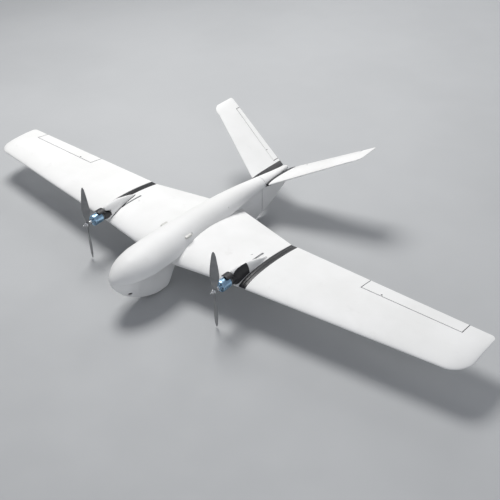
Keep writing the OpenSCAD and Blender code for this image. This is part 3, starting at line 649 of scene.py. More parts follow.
def lathe(name, profile, centre=(0, 0, 0), segments=96, side=1, base=None, axis="Y"):
    """Turns a closed profile of (radius, distance along the axis) points about an axis."""
    bm = bmesh.new()
    rows = []
    for i in range(segments):
        a = 2 * pi * i / segments
        row = []
        for r, d in profile:
            p = {"Y": (r * cos(a), d, r * sin(a)), "X": (d, r * cos(a), r * sin(a)),
                 "Z": (r * cos(a), r * sin(a), d)}[axis]
            p = Vector(p) + Vector(centre)
            row.append(bm.verts.new(place(base @ p if base else p, side)))
        rows.append(row)
    n = len(profile)
    for a, b in zip(rows, rows[1:] + rows[:1]):
        for j in range(n):
            k = (j + 1) % n
            if profile[j][0] == 0 and profile[k][0] == 0:
                continue
            bm.faces.new((a[j], a[k], b[k], b[j]))
    bmesh.ops.remove_doubles(bm, verts=bm.verts, dist=MERGE_DISTANCE)
    bmesh.ops.dissolve_degenerate(bm, edges=bm.edges, dist=1e-8)
    return new_object(name, bm)


def tube_path(name, points, r, side=1, base=None, segments=16):
    """A round bar along a line of points."""
    points = [Vector(p) for p in points]
    rings = []
    u = None
    for i, p in enumerate(points):
        d = (points[min(i + 1, len(points) - 1)] - points[max(i - 1, 0)]).normalized()
        u = d.orthogonal().normalized() if u is None else (u - d * u.dot(d)).normalized()
        rings.append(circle(p, u, d.cross(u), r, segments))
    return loft(name, rings, side, base)


def bend_path(corners, r, steps=6):
    """Points along straight lines between corners, with each corner rounded."""
    pts = [Vector(c) for c in corners]
    path = [pts[0]]
    for a, b, c in zip(pts, pts[1:], pts[2:]):
        p, q = b + (a - b).normalized() * r, b + (c - b).normalized() * r
        for i in range(steps + 1):
            t = i / steps
            path.append(p * (1 - t) ** 2 + b * 2 * t * (1 - t) + q * t * t)
    return path + [pts[-1]]


# ---- Motors and propellers -----------------------------------------

MOTOR_X = 277.6
MOTOR_Z = 20.5
FIREWALL_Y = -268.0
BELL_FRONT_Y = -308.0
BELL_R = 18.0
HUB_Y = -328.0
HUB_T = 8.0
PROP_R = 139.7
PROP_LEAN = {"port": 2.5, "starboard": 3.2}
BLADE_PITCH = 165.0
TEETH = 9
SCREW_CIRCLE_R = 12.5
MOUNT_R = 17.0
MOUNT_LENGTH = 47.0
HOOD_FRONT_Y = -286.0
HOOD_BACK_Y = -260.0
# Radius as a fraction of the tip, chord and thickness of the blade
BLADE_ROWS = [
    (0.04, 9, 4), (0.14, 15, 5), (0.26, 24, 3.6), (0.42, 29, 2.8), (0.60, 26, 2.2),
    (0.78, 20, 1.7), (0.91, 14, 1.3), (0.975, 8, 1), (1, 3, 0.7),
]


def motor_centre(name):
    return (SIDES[name] * MOTOR_X, 0, MOTOR_Z)


def blade_ring(t, count=28):
    r = t * PROP_R
    chord, thick = smooth_rows(BLADE_ROWS, t, 1), smooth_rows(BLADE_ROWS, t, 2)
    twist = min(radians(42), atan(BLADE_PITCH / (2 * pi * r)))
    ring = []
    for i in range(count):
        a = 2 * pi * i / count
        x = chord * 0.5 * cos(a)
        y = 0.5 * thick * sin(a) * (1 - 0.25 * cos(a)) - 0.06 * chord * sin(a) ** 2
        ring.append((x * cos(twist) - y * sin(twist), HUB_Y + x * sin(twist) + y * cos(twist), r))
    return ring


def propeller(name):
    turn = Matrix.Translation(motor_centre(name)) @ Matrix.Rotation(radians(PROP_LEAN[name]), 4, "Y")
    steps = [0.04 + 0.935 * i / 48 for i in range(49)] + [0.982, 0.989, 0.995, 1.0]
    front, back = HUB_Y - HUB_T / 2, HUB_Y + HUB_T / 2
    hub = lathe("propeller_" + name, [(2.5, front + 0.4), (3.0, front), (7.2, front), (8.0, front + 0.8),
        (8.0, back - 0.8), (7.2, back), (3.0, back), (2.5, back - 0.4)], base=turn)
    blades = []
    for half in (0, pi):
        m = turn @ Matrix.Rotation(half, 4, "Y")
        blades.append(loft("blade", [blade_ring(t) for t in steps], base=m))
    carve(hub, blades, "UNION", BLADE_SHARP_ANGLE)
    bore = rod("cutter", (0, front - 6, 0), (0, back + 6, 0), 2.5, base=turn)
    return carve(hub, [bore], sharp=BLADE_SHARP_ANGLE)


def motor_bell(name):
    f, back, r = BELL_FRONT_Y, FIREWALL_Y - 6.5, BELL_R
    profile = [(2.5, f + 0.3), (2.8, f), (8, f), (8.6, f + 0.5), (15.6, f + 0.5), (r - 0.5, f + 1.2),
        (r, f + 2.2), (r, f + 8), (r - 0.35, f + 8.3), (r - 0.35, f + 9.2), (r, f + 9.5), (r, back - 5),
        (r - 0.35, back - 4.7), (r - 0.35, back - 3.9), (r, back - 3.6), (r, back - 0.4), (r - 0.4, back),
        (r - 2.0, back), (r - 2.2, back - 0.3), (r - 2.2, f + 3.4), (r - 2.8, f + 3), (2.5, f + 3)]
    bell = lathe("motor_bell_" + name, profile, motor_centre(name))
    vents = []
    for i in range(6):
        a = radians(60 * i)
        c = Vector(motor_centre(name)) + Vector((11.5 * cos(a), 0, -11.5 * sin(a)))
        vents.append(rod("cutter", c + Vector((0, f - 1, 0)), c + Vector((0, f + 4, 0)), 3.0))
    return carve(bell, vents)


def tooth_frame(name, i):
    """The motor's middle, turned so that X points along tooth i of the stator."""
    turn = Matrix.Rotation(2 * pi * (i + 0.5) / TEETH, 4, "Y")
    return Matrix.Translation(motor_centre(name)) @ turn


def motor_stator(name):
    c = motor_centre(name)
    foot, front, bore = FIREWALL_Y, FIREWALL_Y - 4, 2.55
    plate = lathe("motor_stator_" + name, [(bore, foot), (bore, foot - 34), (6, foot - 34), (6, foot - 32),
        (6.6, foot - 32), (6.6, foot - 8), (6, foot - 8), (6, front - 0.3), (15.8, front),
        (16.5, front + 0.7), (16.5, foot)], c)
    teeth = []
    for i in range(TEETH):
        m = tooth_frame(name, i)
        teeth.append(box_cutter((6.2, foot - 30, -1.6), (13, foot - 10, 1.6), base=m))
        teeth.append(box_cutter((12.6, foot - 30.4, -4.2), (14, foot - 9.6, 4.2), base=m))
    heads = []
    for i in range(4):
        a = radians(45 + 90 * i)
        at = (c[0] + SCREW_CIRCLE_R * cos(a), 0, c[2] + SCREW_CIRCLE_R * sin(a))
        heads.append(lathe("head", [(0, foot - 4.8), (1.2, foot - 4.8), (1.2, foot - 5.6),
            (2.1, foot - 5.6), (2.4, foot - 5.3), (2.4, foot - 4), (0, foot - 4)], at, 28))
    return joined("motor_stator_" + name, [plate] + teeth + heads)


def windings(name):
    """Wire wound round each tooth of the stator, seen through the vents."""
    coils = []
    for i in range(TEETH):
        m = tooth_frame(name, i)
        for k in range(5):
            w = 2.1 + 0.32 * k
            outline = rounded_outline(FIREWALL_Y - 31.2, FIREWALL_Y - 8.8, -w, w, min(1.8, w - 0.1), 4)
            levels = ((0, 0.5), (0.25, 0.12), (0.5, 0), (0.75, 0.12), (0.98, 0.5))
            rings = [[(7.4 + k * 1.02 + h, y, z) for y, z in inset_points(outline, d)] for h, d in levels]
            coils.append(loft("coil", rings, base=m))
    return joined("motor_windings_" + name, coils)


def prop_shaft(name):
    c = motor_centre(name)
    end, nut_front, rear = -347.0, HUB_Y - HUB_T / 2 - 7.5, FIREWALL_Y + 2
    adapter, bell = HUB_Y + HUB_T / 2, BELL_FRONT_Y
    profile = [(0, end), (1.6, end), (2.2, end + 0.7), (2.2, nut_front - 0.3), (2.5, nut_front),
        (2.5, adapter), (6.1, adapter), (6.5, adapter + 0.4), (6.5, adapter + 3), (6.1, adapter + 3.4),
        (6.1, adapter + 4.2), (6.5, adapter + 4.6), (6.5, bell - 1.4), (5.9, bell), (2.5, bell),
        (2.5, rear - 0.5), (2.0, rear), (0, rear)]
    return lathe("prop_shaft_" + name, profile, c, 64)


def prop_nut(name):
    c = Vector(motor_centre(name))
    washer = HUB_Y - HUB_T / 2 - 1.5
    hexagon = [(5.6 * cos(radians(60 * i)), 5.6 * sin(radians(60 * i))) for i in range(6)]
    nut = loft("prop_nut_" + name, [[c + Vector((x, y, z)) for x, z in hexagon]
        for y in (washer - 6, washer)])
    chamfer = lathe("cutter", [(0, washer - 6), (4.8, washer - 6), (5.7, washer - 5), (5.7, washer),
        (0, washer)], c)
    carve(nut, [chamfer], "INTERSECT")
    carve(nut, [rod("cutter", c + Vector((0, washer - 7, 0)), c + Vector((0, washer + 1, 0)), 2.5)])
    ring = lathe("washer", [(2.5, washer), (6.7, washer), (7, washer + 0.3), (7, washer + 1.2),
        (6.7, washer + 1.5), (2.5, washer + 1.5)], c, 64)
    return joined("prop_nut_" + name, [nut, ring])


def motor_mount(name, side):
    """The black moulding that carries the motor, with a curved hood over it."""
    steps = 48
    front = []
    back = []
    for i in range(steps):
        a = 2 * pi * i / steps
        front.append((MOTOR_X + MOUNT_R * cos(a), MOTOR_Z + MOUNT_R * sin(a)))
        k = min(1 / max(abs(cos(a)), abs(sin(a))), 1.28)
        back.append((MOTOR_X + 14 * k * cos(a), 6 + 10 * k * sin(a)))
    rings = [[(x, FIREWALL_Y, z) for x, z in inset_points(front, 0.8)]]
    rings += [[(x, FIREWALL_Y + d, z) for x, z in front] for d in (0.8, 4)]
    for t in (0.25, 0.5, 0.75, 1.0):
        y = FIREWALL_Y + 4 + (MOUNT_LENGTH - 4) * t
        rings.append([(p[0] + (q[0] - p[0]) * t, y, p[1] + (q[1] - p[1]) * t)
                      for p, q in zip(front, back)])
    foot = loft("motor_mount_" + name, rings, side)
    bore = rod("cutter", (MOTOR_X, FIREWALL_Y - 1, MOTOR_Z), (MOTOR_X, FIREWALL_Y + 19, MOTOR_Z), 4,
        side=side)
    holes = []
    for i in range(4):
        a = radians(45 + 90 * i)
        x, z = MOTOR_X + SCREW_CIRCLE_R * cos(a), MOTOR_Z + SCREW_CIRCLE_R * sin(a)
        holes.append(rod("cutter", (x, FIREWALL_Y - 7, z), (x, FIREWALL_Y + 7, z), 1.5, side=side))
    carve(foot, [bore] + holes)
    f, b = HOOD_FRONT_Y, HOOD_BACK_Y
    profile = [(22.2, f), (23.7, f), (24, f + 0.3), (24, b - 0.3), (23.7, b), (22.2, b)]
    shell = lathe("hood", profile, (MOTOR_X, 0, MOTOR_Z), 144, side)
    hood_outline = rounded_outline(MOTOR_X - 13.8, MOTOR_X + 13.8, f, b, 4)
    carve(shell, [prism_cutter(hood_outline, MOTOR_Z + 10, MOTOR_Z + 40, side)], "INTERSECT")
    post = box_cutter((MOTOR_X - 2, FIREWALL_Y, MOTOR_Z + 14), (MOTOR_X + 2, FIREWALL_Y + 8, MOTOR_Z + 23),
        side)
    return carve(foot, [post, shell], "UNION")


NACELLE_X = 280.0
NACELLE_LEAN = 0.09
NACELLE_LEAN_Y = -225.0
NACELLE_WALL = 3.0
# Station, half width and top height of the nacelle ridge
NACELLE_ROWS = [
    (-258, 8, 36), (-254, 14, 44), (-236, 17.5, 49), (-200, 15.5, 45), (-160, 11, 35),
    (-125, 7, 23), (-102, 3, 12),
]


def nacelle_ring(y, wall=0.0, steps=40):
    w, top = smooth_rows(NACELLE_ROWS, y, 1), smooth_rows(NACELLE_ROWS, y, 2)
    return [(NACELLE_X - (w - wall) * cos(pi * i / steps) + NACELLE_LEAN * (y - NACELLE_LEAN_Y), y,
             2 + (top - wall - 2) * sin(pi * i / steps)) for i in range(steps + 1)]


def nacelle_shell(name, side, cutters, operation="DIFFERENCE"):
    """The hollow ridge behind the motor, trimmed to the top of the wing."""
    stations = [-258, -257.7, -257, -256, -255, -254, -252.5] + straight_stations(-251, -102, 42)
    shell = loft(name, [nacelle_ring(y) for y in stations], side)
    carve(shell, cutters, operation)
    inner = loft("cutter", [nacelle_ring(y, NACELLE_WALL) for y in straight_stations(-236, -160, 14)], side)
    wing = loft("cutter", [wing_ring(x) for x in (200, 250, 280, JOINT_X)], side)
    return carve(shell, [inner, wing])


def clamp_room(side):
    return box_cutter((NACELLE_X + 4, -262, 0), (NACELLE_X + 34, -198, 60), side)


def nacelle_cover(name, side):
    foot = loft("cutter", [[(MOTOR_X + 17.2 * cos(a), y, MOTOR_Z + 17.2 * sin(a))
        for a in (radians(7.5 * i) for i in range(48))] for y in (-270, -238)], side)
    return nacelle_shell("foam_nacelle_cover_" + name, side, [foot, clamp_room(side)])


def motor_clamp(name, side):
    return nacelle_shell("motor_clamp_" + name, side, [clamp_room(side)], "INTERSECT")


def nacelle_foot_shade(name, side):
    """A dark line of painted shade along the inboard foot of the ridge."""
    path = []
    for y in straight_stations(-246, -110, 24):
        w, top = smooth_rows(NACELLE_ROWS, y, 1), smooth_rows(NACELLE_ROWS, y, 2)
        x = NACELLE_X - 0.9 * w + NACELLE_LEAN * (y - NACELLE_LEAN_Y)
        for _ in range(4):
            skin = wing_z(x, (y - wing_le(x)) / (wing_te(x) - wing_le(x)), 1)
            sine = min(0.99, max(0.0, (skin - 2) / (top - 2)))
            x = NACELLE_X - w * sqrt(1 - sine * sine) + NACELLE_LEAN * (y - NACELLE_LEAN_Y)
        path.append((x - 0.6, y, skin - 0.2))
    return tube_path("nacelle_foot_shade_" + name, path, 1.5, side)


# ---- Joint ribs, latches, tail bracket -----------------------------


def joint_rib(name, from_x, side):
    width = RIB_W - PART_GAP / 2
    middle = from_x + RIB_W / 2
    levels = ((0, 1.9), (0.5, 1.35), (1.2, 1.2), (width - 1.2, 1.2), (width - 0.5, 1.35), (width, 1.9))
    rings = [[(from_x + x, p[1], p[2]) for p in wing_ring(middle, -inset)] for x, inset in levels]
    return carve(loft(name, rings, side), spar_cutters(side))


def latch(name, side):
    y0, y1 = LATCH_Y - LATCH_HALF, LATCH_Y + LATCH_HALF
    levels = ((LATCH_X - 5, LATCH_R), (LATCH_X + 2.2, LATCH_R), (LATCH_X + 2.8, LATCH_R - 0.25),
        (LATCH_X + 3, LATCH_R - 0.8))
    body = loft(name, [stadium(y0, y1, LATCH_Z, r, x) for x, r in levels], side)
    ridges = [soft_box("ridge", (LATCH_X + 2, LATCH_Y + d - 0.7, LATCH_Z - 3),
        (LATCH_X + 4.4, LATCH_Y + d + 0.7, LATCH_Z + 3), 0.5, 0.3, side) for d in (-8, -4, 0, 4, 8)]
    return joined(name, [body] + ridges)


def tail_bracket():
    pieces = []
    for side in SIDES.values():
        levels = ((-12, 0.8), (FIN_START - 1.4, 0.8), (FIN_START - 0.7, 0.6), (FIN_START - 0.2, 0.1))
        arm = loft("arm", [fin_ring(x, grow) for x, grow in levels], side)
        carve(arm, [box_cutter((0, TAIL_SEAM_Y + 2, -50), (100, 460, 100), side)], "INTERSECT")
        plate = slab("plate", rounded_outline(-1, 30, 235, 320, 4), 6, 11, 0.8, lambda x, y, h: (x, y, h),
            side)
        pieces.append(carve(arm, [plate], "UNION"))
    return joined("tail_bracket_arms", pieces)


def fin_spars():
    y, r = FIN_SPAR
    return joined("fin_spars", [
        carve(rod("spar", (10, y, 0), (118, y, 0), r, side=side, base=FIN_FRAME),
              [rod("cutter", (90, y, 0), (119, y, 0), r - 1, side=side, base=FIN_FRAME)])
        for side in SIDES.values()])


# ---- Servos and linkages -------------------------------------------


def servo(name, side, m):
    case = soft_box("case", (-21, LINK_Y - 8, -7), (-2.5, LINK_Y + 14, 3), 1.2, 0.5, side, m)
    seams = [carve(soft_box("seam", (-21.1, LINK_Y - 8.1, z - 0.15), (-2.4, LINK_Y + 14.1, z + 0.15), 1.2,
        0.05, side, m), [box_cutter((-20.8, LINK_Y - 7.8, z - 1), (-2.7, LINK_Y + 13.8, z + 1), side, m)])
        for z in (-4.6, 1.0)]
    boss = lathe("boss", [(0, -2.6), (3.6, -2.6), (3.6, -2.1), (2.6, -1.7), (2.6, -1.4), (1.5, -1.3),
        (1.5, 0.8), (1.2, 1.0), (0, 1.0)], (0, LINK_Y, 0), 40, side, m, "X")
    screws = [lathe("screw", [(0, -7.3), (0.9, -7.3), (1.1, -7.1), (1.1, -6.8), (0, -6.8)], (x, y, 0), 20,
        side, m, "Z") for x in (-19, -4.5) for y in (LINK_Y - 6, LINK_Y + 12)]
    return joined(name, [case, boss] + seams + screws)


def arm_outline(root_r, tip_r, length, steps=14):
    """Outline of an arm that narrows from its pivot at the origin to a round tip below it."""
    lean = asin((root_r - tip_r) / length)
    root = [(root_r * cos(a), root_r * sin(a))
            for a in (-lean + (pi + 2 * lean) * i / steps for i in range(steps + 1))]
    tip = [(tip_r * cos(a), -length + tip_r * sin(a))
           for a in (pi + lean + (pi - 2 * lean) * i / steps for i in range(steps + 1))]
    return root + tip


def bar_hole(r, y, z, side, m):
    return rod("cutter", (-4, y, z), (4, y, z), r, side=side, segments=24, base=m)


def servo_arm(name, side, m):
    arm = slab(name, arm_outline(3.4, 2.4, ARM_R), -1, 1, 0.3, lambda y, z, x: (x, y + LINK_Y, z), side, m)
    holes = [bar_hole(0.85, LINK_Y, -ARM_R, side, m), bar_hole(1.55, LINK_Y, 0, side, m)]
    holes += [bar_hole(0.5, LINK_Y, -z, side, m) for z in (6, 8.5, 11)]
    return carve(arm, holes)


def push_rod(name, side, m):
    corners = [(-1.4, 0, -ARM_R), (2.7, 0, -ARM_R), (2.7, LINK_Y, -ARM_R), (-1.4, LINK_Y, -ARM_R)]
    return tube_path(name, bend_path(corners, 1.2), 0.8, side, m)


def horn_plate(name, side, m, root):
    plate = slab(name, arm_outline(3.0, 2.6, ARM_R - root), -1, 1, 0.3, lambda y, z, x: (x, y, z - root),
        side, m)
    return carve(plate, [bar_hole(0.85, 0, -ARM_R, side, m)] + [bar_hole(0.5, 0, -z, side, m)
        for z in (8.5, 11.2)])


def aileron_horn(name, side):
    m = AILERON_LINK
    plate = horn_plate("horn", side, m, 6.6)
    foot = soft_box("foot", (-5, -1, -5.2), (5, 13, -3.6), 1.5, 0.3, side, m)
    carve(plate, [foot], "UNION")
    back = lathe("back", [(0, 4.2), (2.5, 4.2), (2.5, 5.5), (2.0, 6.0), (0.9, 6.0), (0.9, 5.6), (0, 5.6)],
        (0, 5, 0), 40, side, m, "Z")
    screws = [lathe("screw", [(0, -6.2), (1.3, -6.2), (1.6, -5.9), (1.6, -5.1), (0, -5.1)], (x, 10, 0), 24,
        side, m, "Z") for x in (-3, 3)]
    return joined(name, [plate, back] + screws)


def tail_horn(name, side):
    plate = horn_plate("horn", side, RV_LINK, 3.2)
    back = lathe("back", [(0, 1.9), (2.0, 1.9), (2.0, 2.6), (1.6, 3.0), (0, 3.0)], (0, 4, 0), 32, side,
        RV_LINK, "Z")
    return joined(name, [plate, back])


# ---- Belly and equipment -------------------------------------------

SURVEY_Y = -345.0
TRAY_TOP = -11.0


def belly_skid():
    outline = rounded_outline(-13, 13, -306, -288, 4)
    skid = slab("belly_skid_plate", outline, GROUND_Z, GROUND_Z + 2, 0.5, lambda x, y, h: (x, y, h))
    return carve(skid, [box_cutter((-10, y - 0.6, GROUND_Z - 1), (10, y + 0.6, GROUND_Z + 0.4))
        for y in (-302, -297, -292)])


def survey_camera():
    z = -92
    body = soft_box("body", (-14, SURVEY_Y - 28, z), (14, SURVEY_Y + 32, z + 42), 4, 1.5)
    barrel = lathe("barrel", [(6.5, z), (11, z), (11, z - 13.3), (10.4, z - 14), (9.2, z - 14),
        (8.6, z - 12.9), (8.6, z - 11.5), (7.8, z - 10.9), (6.5, z - 10.5)], (0, SURVEY_Y, 0), axis="Z")
    panel = soft_box("panel", (-10, SURVEY_Y - 20, z + 41.8), (10, SURVEY_Y + 20, z + 42.4), 2, 0.2)
    return joined("survey_camera_body", [body, barrel, panel])


def lens_glass(name, r, depth, dome, centre, base=None):
    """A domed front lens. dome is how far its middle stands towards the subject, along -Z or +Z."""
    curve = [(r * sin(radians(a)), depth + dome * cos(radians(a))) for a in range(90, -1, -9)]
    curve[-1] = (0, depth + dome)
    back = [(0, depth - 0.8 * copysign(1, dome)), (r, depth - 0.8 * copysign(1, dome))]
    return lathe(name, back + curve, centre, 64, base=base, axis="Z")


def nose_camera():
    return lathe("nose_camera_body", [(0, -4), (7, -4), (7.5, -3.5), (7.5, 0.6), (7.1, 1), (4.9, 1),
        (4.5, 1.4), (4.5, 2.6), (4.1, 3), (3.5, 3), (3.3, 1.6), (0, 1.6)], base=NOSE_CAMERA, axis="Z")


def battery():
    """A shrink-wrapped pack: its sides bulge a little and its ends are folded."""
    def ring(y, d):
        z0, z1 = TRAY_TOP + d, TRAY_TOP + 42 - d
        outline = rounded_outline(-24 + d, 24 - d, z0, z1, 5, 5)
        return [(x, y, z) for x, z in outline]
    levels = [(-390, 9), (-389.6, 5), (-388.4, 2.2), (-386.5, 0.8), (-384, 0.3), (-378, 0.0)]
    levels += [(-378 + 12 * i, 0.25 * sin(i * 1.7) ** 2) for i in range(1, 12)]
    levels += [(-232, 0), (-226, 0.3), (-223.5, 0.8), (-221.6, 2.2), (-220.4, 5), (-220, 9)]
    return loft("battery_pack", [ring(y, d) for y, d in levels])


def battery_plug():
    return soft_box("battery_plug", (-18, -220, TRAY_TOP + 8), (12, -214, TRAY_TOP + 34), 1.2, 0.6)


def battery_straps():
    pieces = []
    for y in (-350, -270):
        outline = rounded_outline(-25.5, 25.5, -1.5, 43.5, 5, 5)
        inner = rounded_outline(-24.2, 24.2, -3, 42.2, 4.6, 5)
        band = loft("band", [[(x, y + d, TRAY_TOP + z) for x, z in inset_points(outline, e)]
                             for d, e in ((0, 0.3), (0.5, 0), (19.5, 0), (20, 0.3))])
        carve(band, [loft("cutter", [[(x, y + d, TRAY_TOP + z) for x, z in inner] for d in (-1, 21)]),
            box_cutter((-30, y - 1, TRAY_TOP - 5), (30, y + 21, TRAY_TOP))])
        buckle = soft_box("buckle", (-8, y, TRAY_TOP + 43.2), (8, y + 20, TRAY_TOP + 44.4), 2, 0.4)
        pieces += [band, buckle]
    return joined("battery_bands", pieces)


def autopilot():
    case = soft_box("case", (-20, -150, TRAY_TOP), (20, -90, TRAY_TOP + 12), 3, 1.2)
    pieces = [case]
    for x in (-12, 0, 12):
        port = soft_box("port", (x - 4, -148, TRAY_TOP + 12), (x + 4, -138, TRAY_TOP + 16), 0.5, 0.3)
        pieces.append(carve(port, [box_cutter((x - 3, -146.6, TRAY_TOP + 13),
            (x + 3, -139.4, TRAY_TOP + 17))]))
    pieces += [soft_box("rib", (-16, y, TRAY_TOP + 11.8), (16, y + 2, TRAY_TOP + 12.8), 0.9, 0.3)
        for y in range(-130, -98, 5)]
    return joined("autopilot_case", pieces)


def gps_module():
    mast = lathe("mast", [(0, TRAY_TOP), (6, TRAY_TOP), (6, TRAY_TOP + 1.2), (3, TRAY_TOP + 2.4),
        (3, TRAY_TOP + 24), (0, TRAY_TOP + 24)], (0, -15, 0), axis="Z")
    z = TRAY_TOP + 24
    puck = lathe("puck", [(0, z), (23.5, z), (25, z + 1.5), (25, z + 4.8), (24.6, z + 5.0), (24.6, z + 5.4),
        (25, z + 5.6), (25, z + 7.5), (24, z + 9.2), (22, z + 10), (0, z + 10)], (0, -15, 0), 128, axis="Z")
    return joined("gps_puck", [mast, puck])


# ---- Materials -----------------------------------------------------


class Look:
    """A node graph around one principled shader. Texture positions are metres in the row frame."""

    def __init__(self, name, **values):
        self.material = bpy.data.materials.new("look_" + name)
        self.material.use_nodes = True
        self.tree = self.material.node_tree
        self.shader = self.tree.nodes["Principled BSDF"]
        self.set(**values)
        self.where = self.add("ShaderNodeTexCoord").outputs["Object"]

    def set(self, **values):
        for key, value in values.items():
            self.feed(self.shader.inputs[key.replace("_", " ")], value)

    def feed(self, socket, value):
        if isinstance(value, bpy.types.NodeSocket):
            self.tree.links.new(value, socket)
        else:
            socket.default_value = value

    def add(self, kind, inputs=(), **settings):
        node = self.tree.nodes.new(kind)
        for key, value in settings.items():
            setattr(node, key, value)
        for key, value in dict(inputs).items():
            self.feed(node.inputs[key], value)
        return node

    def stretch(self, x, y, z, turn=(0, 0, 0)):
        return self.add("ShaderNodeMapping", {"Vector": self.where, "Scale": (x, y, z),
            "Rotation": turn}).outputs[0]

    def noise(self, scale, detail=4.0, rough=0.5, vector=None):
        return self.add("ShaderNodeTexNoise", {"Vector": vector or self.where, "Scale": scale,
            "Detail": detail, "Roughness": rough}).outputs["Fac"]

    def wave(self, scale, vector=None, direction="X", distortion=0.0):
        return self.add("ShaderNodeTexWave", {"Vector": vector or self.where, "Scale": scale,
            "Distortion": distortion}, bands_direction=direction).outputs["Fac"]

    def range(self, value, low, high, out_low, out_high):
        return self.add("ShaderNodeMapRange", {0: value, 1: low, 2: high, 3: out_low,
            4: out_high}).outputs[0]

    def sum(self, a, b, operation="ADD"):
        return self.add("ShaderNodeMath", {0: a, 1: b}, operation=operation).outputs[0]

    def ramp(self, value, stops):
        node = self.add("ShaderNodeValToRGB", {"Fac": value})
        elements = node.color_ramp.elements
        for i, (at, colour) in enumerate(stops):
            e = elements[i] if i < 2 else elements.new(at)
            e.position = at
            e.color = (*colour, 1)
        return node.outputs["Color"]

    def mix(self, amount, a, b):
        node = self.add("ShaderNodeMix", data_type="RGBA")
        self.feed(node.inputs[0], amount)
        self.feed(node.inputs[6], a if isinstance(a, bpy.types.NodeSocket) else (*a, 1))
        self.feed(node.inputs[7], b if isinstance(b, bpy.types.NodeSocket) else (*b, 1))
        return node.outputs[2]

    def bump(self, *layers):
        """Bump from (height, depth in metres, strength) layers, one over the other."""
        normal = None
        for height, depth, strength in layers:
            inputs = {"Height": height, "Distance": depth, "Strength": strength}
            if normal:
                inputs["Normal"] = normal
            normal = self.add("ShaderNodeBump", inputs).outputs[0]
        self.set(Normal=normal)


def white_foam():
    look = Look("white_foam", Specular_IOR_Level=0.35)
    tone = look.ramp(look.noise(7, 3), [(0.35, (0.83, 0.83, 0.82)), (0.65, (0.88, 0.88, 0.875))])
    cells = look.add("ShaderNodeTexVoronoi", {"Vector": look.where, "Scale": 290.0},
        feature="DISTANCE_TO_EDGE").outputs["Distance"]
    seams = look.range(cells, 0.0, 0.12, 1.0, 0.0)
    tone = look.mix(look.sum(seams, 0.05, "MULTIPLY"), tone, (0.6, 0.6, 0.58))
    smudge = look.range(look.noise(19, 5, 0.62), 0.62, 0.78, 0.0, 0.16)
    look.set(Base_Color=look.mix(smudge, tone, (0.52, 0.51, 0.48)))
    look.set(Roughness=look.range(look.noise(60, 4), 0.3, 0.7, 0.46, 0.62))
    look.bump((look.range(cells, 0.0, 0.16, 0.0, 1.0), 0.00012, 0.35), (look.noise(1500, 3), 0.00004, 0.3),
              (look.noise(26, 2), 0.0006, 0.25))
    return look.material


def moulded(name, dark, light, rough, grain=1100.0, depth=0.00006, scuff=0.1,
    scuff_colour=(0.12, 0.12, 0.12), **values):
    """Injection moulded plastic: fine texture, faint flow marks and light scuffs."""
    look = Look(name, **values)
    flow = look.noise(22, 4, vector=look.stretch(1, 0.35, 1.4))
    tone = look.ramp(flow, [(0.35, dark), (0.65, light)])
    marks = look.noise(70, 6, 0.7, look.stretch(1, 3.5, 1))
    look.set(Base_Color=look.mix(look.range(marks, 0.66, 0.8, 0.0, scuff), tone, scuff_colour))
    look.set(Roughness=look.range(look.noise(120, 3), 0.3, 0.7, rough - 0.07, rough + 0.09))
    look.bump((look.noise(grain, 2), depth, 0.5))
    return look.material


def carbon_tube():
    look = Look("carbon_tube", Coat_Weight=0.6, Coat_Roughness=0.15)
    a = look.wave(420, look.stretch(1, 1, 1, (0, 0, radians(45))))
    b = look.wave(420, look.stretch(1, 1, 1, (0, radians(45), radians(-45))))
    weave = look.sum(a, b, "MULTIPLY")
    tone = look.ramp(weave, [(0.15, (0.012, 0.012, 0.014)), (0.7, (0.055, 0.057, 0.062))])
    look.set(Base_Color=tone, Roughness=look.range(weave, 0.0, 1.0, 0.42, 0.26))
    look.bump((weave, 0.00008, 0.5))
    return look.material


def plywood():
    look = Look("plywood")
    grain = look.noise(55, 6, 0.6, look.stretch(3.0, 0.22, 3.0))
    tone = look.ramp(grain, [(0.32, (0.42, 0.27, 0.14)), (0.52, (0.63, 0.45, 0.26)),
        (0.7, (0.72, 0.55, 0.35))])
    plies = look.wave(330, direction="Z")
    facing = look.add("ShaderNodeSeparateXYZ",
        {"Vector": look.add("ShaderNodeNewGeometry").outputs["Normal"]}).outputs["Z"]
    edge = look.range(look.add("ShaderNodeMath", {0: facing}, operation="ABSOLUTE").outputs[0], 0.3, 0.7,
        1.0, 0.0)
    burnt = look.ramp(plies, [(0.3, (0.09, 0.05, 0.03)), (0.7, (0.2, 0.12, 0.07))])
    look.set(Base_Color=look.mix(edge, tone, burnt), Roughness=look.range(grain, 0.3, 0.7, 0.5, 0.68))
    look.bump((grain, 0.0002, 0.4))
    return look.material


def battery_wrap():
    look = Look("battery_wrap", Coat_Weight=0.4, Coat_Roughness=0.12)
    tone = look.ramp(look.noise(18, 3), [(0.35, (0.035, 0.05, 0.1)), (0.65, (0.06, 0.08, 0.15))])
    creases = look.noise(85, 5, 0.6, look.stretch(1, 0.5, 1.6))
    look.set(Base_Color=look.mix(look.range(creases, 0.6, 0.75, 0, 0.25), tone, (0.16, 0.18, 0.24)))
    look.set(Roughness=look.range(creases, 0.3, 0.7, 0.24, 0.42))
    look.bump((creases, 0.0006, 0.5), (look.noise(700, 2), 0.00005, 0.3))
    return look.material


def strap_fabric():
    look = Look("strap_fabric", Sheen_Weight=0.4, Sheen_Roughness=0.5)
    across = look.wave(210, direction="X")
    along = look.wave(180, direction="Y")
    up = look.wave(210, direction="Z")
    weave = look.sum(look.sum(across, up, "MAXIMUM"), along, "MULTIPLY")
    look.set(Base_Color=look.ramp(weave, [(0.1, (0.014, 0.014, 0.016)), (0.8, (0.055, 0.055, 0.06))]))
    look.set(Roughness=look.range(look.noise(200, 3), 0.3, 0.7, 0.75, 0.9))
    look.bump((weave, 0.0003, 0.7))
    return look.material


